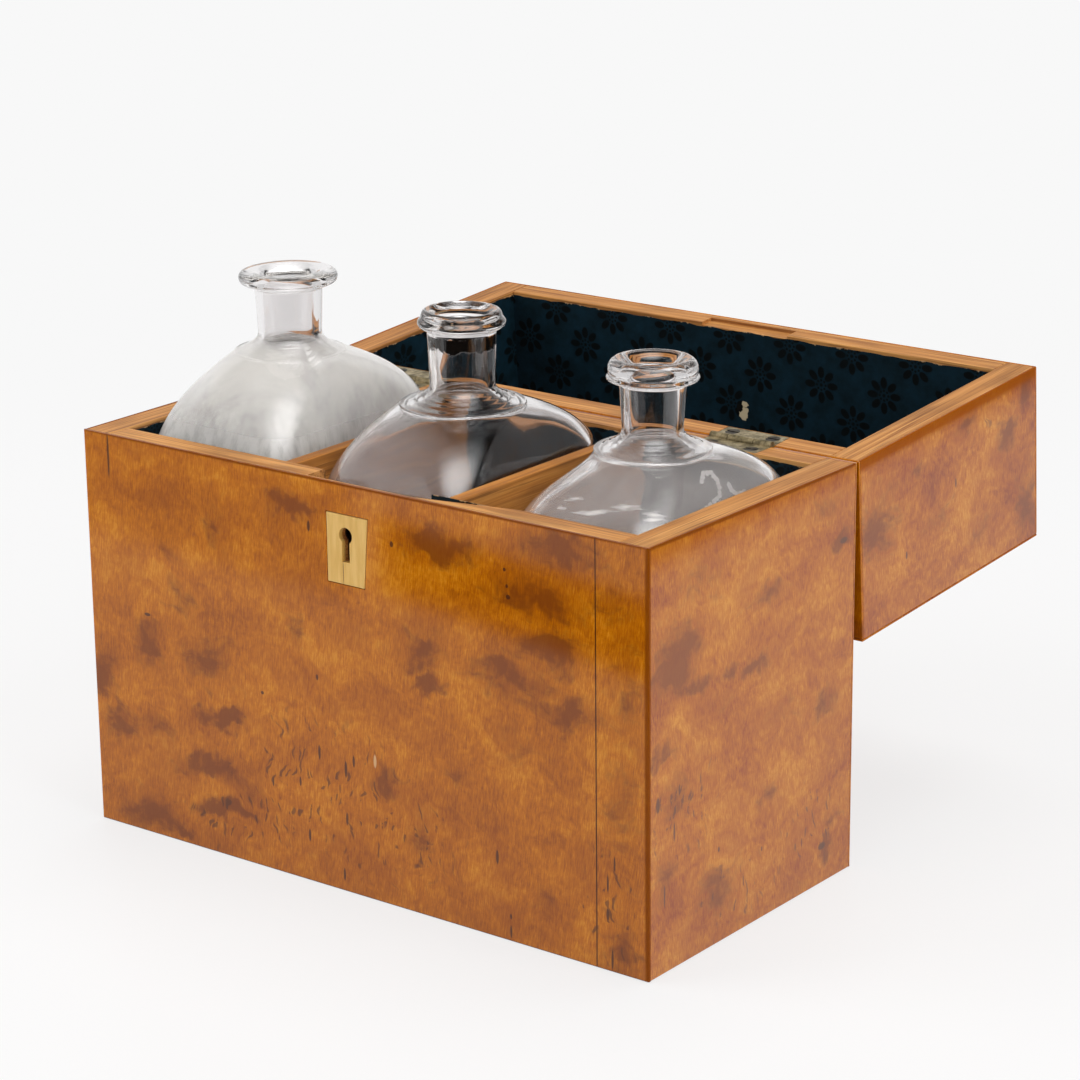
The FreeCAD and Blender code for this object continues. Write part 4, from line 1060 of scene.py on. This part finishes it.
def bottleRings(s, common, full, flare):
    # rings from the foot up the outside, over the lip and down the inside
    # each is a height, two half sizes, a corner, and whether it is inside
    wall, square = common["wall"], common["corner"]
    bodyX, bodyY = s["body"][0] / 2, s["body"][1] / 2
    neckLow, neckHigh = s["neck"][0] / 2, s["neck"][1] / 2
    bore = s["bore"] / 2
    crease, top = s["crease"]

    def shoulderRing(t):
        # from the square body to the round crease
        spread = (1 - t ** full) ** flare
        halfX, halfY = (crease + (half - crease) * spread for half in (bodyX, bodyY))
        corner = square + (crease - square) * t ** 1.5
        return s["shoulder"] + t * (top - s["shoulder"]), halfX, halfY, min(corner, 0.99 * halfX)

    rings = []
    foot = common["footRound"]
    bend = ((foot * 0.5, foot * 0.13), (foot * 0.13, foot * 0.5), (0, foot))
    footCurve = ((foot + 14, 0.0), (foot, 0.0), *bend)
    for inset, height in footCurve:
        rings.append((height, bodyX - inset, bodyY - inset, max(square - inset, 4), False))
    for height in (8, 35, 70, 100, s["shoulder"] - 8, s["shoulder"]):
        rings.append((height, bodyX, bodyY, square, False))
    steps = [1 - (1 - i / 18) ** 1.7 for i in range(1, 19)]
    rings += [shoulderRing(t) + (False,) for t in steps]
    for grow, lift in ((0.2, 0.35), (-0.2, 0.6), (-1.0, 0.5)):
        rings.append(roundRing(top + lift, crease + grow))
    collar = []
    for i in range(1, 13):
        share = i / 12
        radius = neckLow + (crease - 1.0 - neckLow) * (1 - share) ** 2.2
        ripple = common["ripple"] * (-1) ** i * (1 - share)
        rings.append(roundRing(top + 0.5 + (common["collar"] - 0.5) * share + ripple, radius))
        collar.append((top - wall * (1 - share) + common["collar"] * share, max(radius - wall, bore)))
    neckBase = top + common["collar"]
    lipFoot = s["tall"] + s["lip"][0][1]
    for share in (0.25, 0.5, 0.75, 0.95):
        radius = neckLow + (neckHigh - neckLow) * share
        rings.append(roundRing(neckBase + (lipFoot - neckBase) * share, radius))
    rings += [roundRing(s["tall"] + drop, radius) for radius, drop in s["lip"]]
    boreTop = s["tall"] + s["lip"][-1][1]
    boreFoot = neckBase + 1.0
    for share in (0.25, 0.5, 0.75, 1.0):
        rings.append(roundRing(boreTop + (boreFoot - boreTop) * share, bore, True))
    rings += [roundRing(height, radius, True) for height, radius in reversed(collar[::2])]
    for t in reversed(steps[:-1]):
        height, halfX, halfY, corner = shoulderRing(t)
        halfX, halfY = max(halfX - wall, bore + 1.5), max(halfY - wall, bore + 1.8)
        rings.append((height - wall * t, halfX, halfY, min(max(corner - wall, 8), 0.99 * halfX), True))
    for height in (s["shoulder"], 100, 70, 35, common["floor"] + 5):
        rings.append((height, bodyX - wall, bodyY - wall, square - wall, True))
    for inset, height in ((1.2, 1.4), (4.0, 0.1), (16.0, 0.0)):
        rings.append((common["floor"] + height, bodyX - wall - inset, bodyY - wall - inset, 10, True))
    return rings


def blowBottle(name, s, common, skin, film):
    node = "bottle_" + name
    slack, rings = (bottleRings(s, common, *curve) for curve in s["dome"])
    middle = Vector((s["centre"][0] * mm, s["centre"][1] * mm, common["stand"] * mm))
    bpy.ops.object.select_all(action="DESELECT")
    # a grid with one row for each ring is rolled into a tube
    points, rows = common["ringPoints"], len(rings) - 1
    bpy.ops.mesh.primitive_grid_add(x_subdivisions=points, y_subdivisions=rows, size=1)
    bottle = bpy.context.object
    bottle.name = name + "Bottle"
    bottle.data.materials.append(skin)
    bottle.data.materials.append(film)
    rowOf = [round((vertex.co.y + 0.5) * rows) for vertex in bottle.data.vertices]
    for vertex, row in zip(bottle.data.vertices, rowOf):
        height, halfX, halfY, corner, inside = rings[row]
        angle = 2 * math.pi * round((vertex.co.x + 0.5) * points) / points
        fullness = (1 + math.cos(angle - math.radians(common["fullSide"]))) / 2
        flat = ringReach(angle, *slack[row][1:4])
        reach = (flat + (ringReach(angle, halfX, halfY, corner) - flat) * fullness) * mm
        if not inside:
            away = abs(math.remainder(angle - math.radians(s["fold"][0]), 2 * math.pi))
            kink = max(0.0, 1 - away / math.radians(s["fold"][1]))
            height -= s["fold"][2] * kink * math.exp(-((height - s["crease"][1]) / 3) ** 2)
        vertex.co = (math.cos(angle) * reach, math.sin(angle) * reach, height * mm)
        # breath and gravity leave no wall quite true, the inner skin least of all
        lift = min(vertex.co.z / (common["wobbleFull"] * mm), 1.0)
        if inside:
            lift *= min(max(reach / (0.55 * s["neck"][0] * mm) - 1, 0.0), 1.0)
        push = noise.noise_vector((vertex.co + middle) / (common["wobbleSize"][inside] * mm))
        vertex.co += middle + push * common["wobble"][inside] * mm * lift
    for face in bottle.data.polygons:
        face.material_index = 1 if all(rings[rowOf[corner]][4] for corner in face.vertices) else 0
    bpy.ops.object.mode_set(mode="EDIT")
    bpy.ops.mesh.select_all(action="SELECT")
    bpy.ops.mesh.remove_doubles(threshold=0.001 * mm)
    bpy.ops.mesh.fill_holes(sides=0)
    bpy.ops.mesh.normals_make_consistent(inside=False)
    bpy.ops.object.mode_set(mode="OBJECT")
    smooth = bottle.modifiers.new("smooth", "SUBSURF")
    smooth.levels = 1
    smooth.render_levels = 1
    smooth.use_limit_surface = False
    bpy.ops.object.modifier_apply(modifier="smooth")
    bpy.ops.object.shade_smooth()
    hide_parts(node)
    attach(bottle, bodyOf[node])
    print(name, "bottle blown,", len(bottle.data.polygons), "faces")


noise.seed_set(bottleSet["wobbleSeed"])
dustyGlass = filmedGlass("dusty glass", depositSet["leftSkin"])
for name, skin in (("left", dustyGlass), ("middle", clearGlass), ("right", clearGlass)):
    film = filmedGlass("glass with dried deposit, " + name, depositSet[name])
    blowBottle(name, bottleSet[name], bottleSet, skin, film)
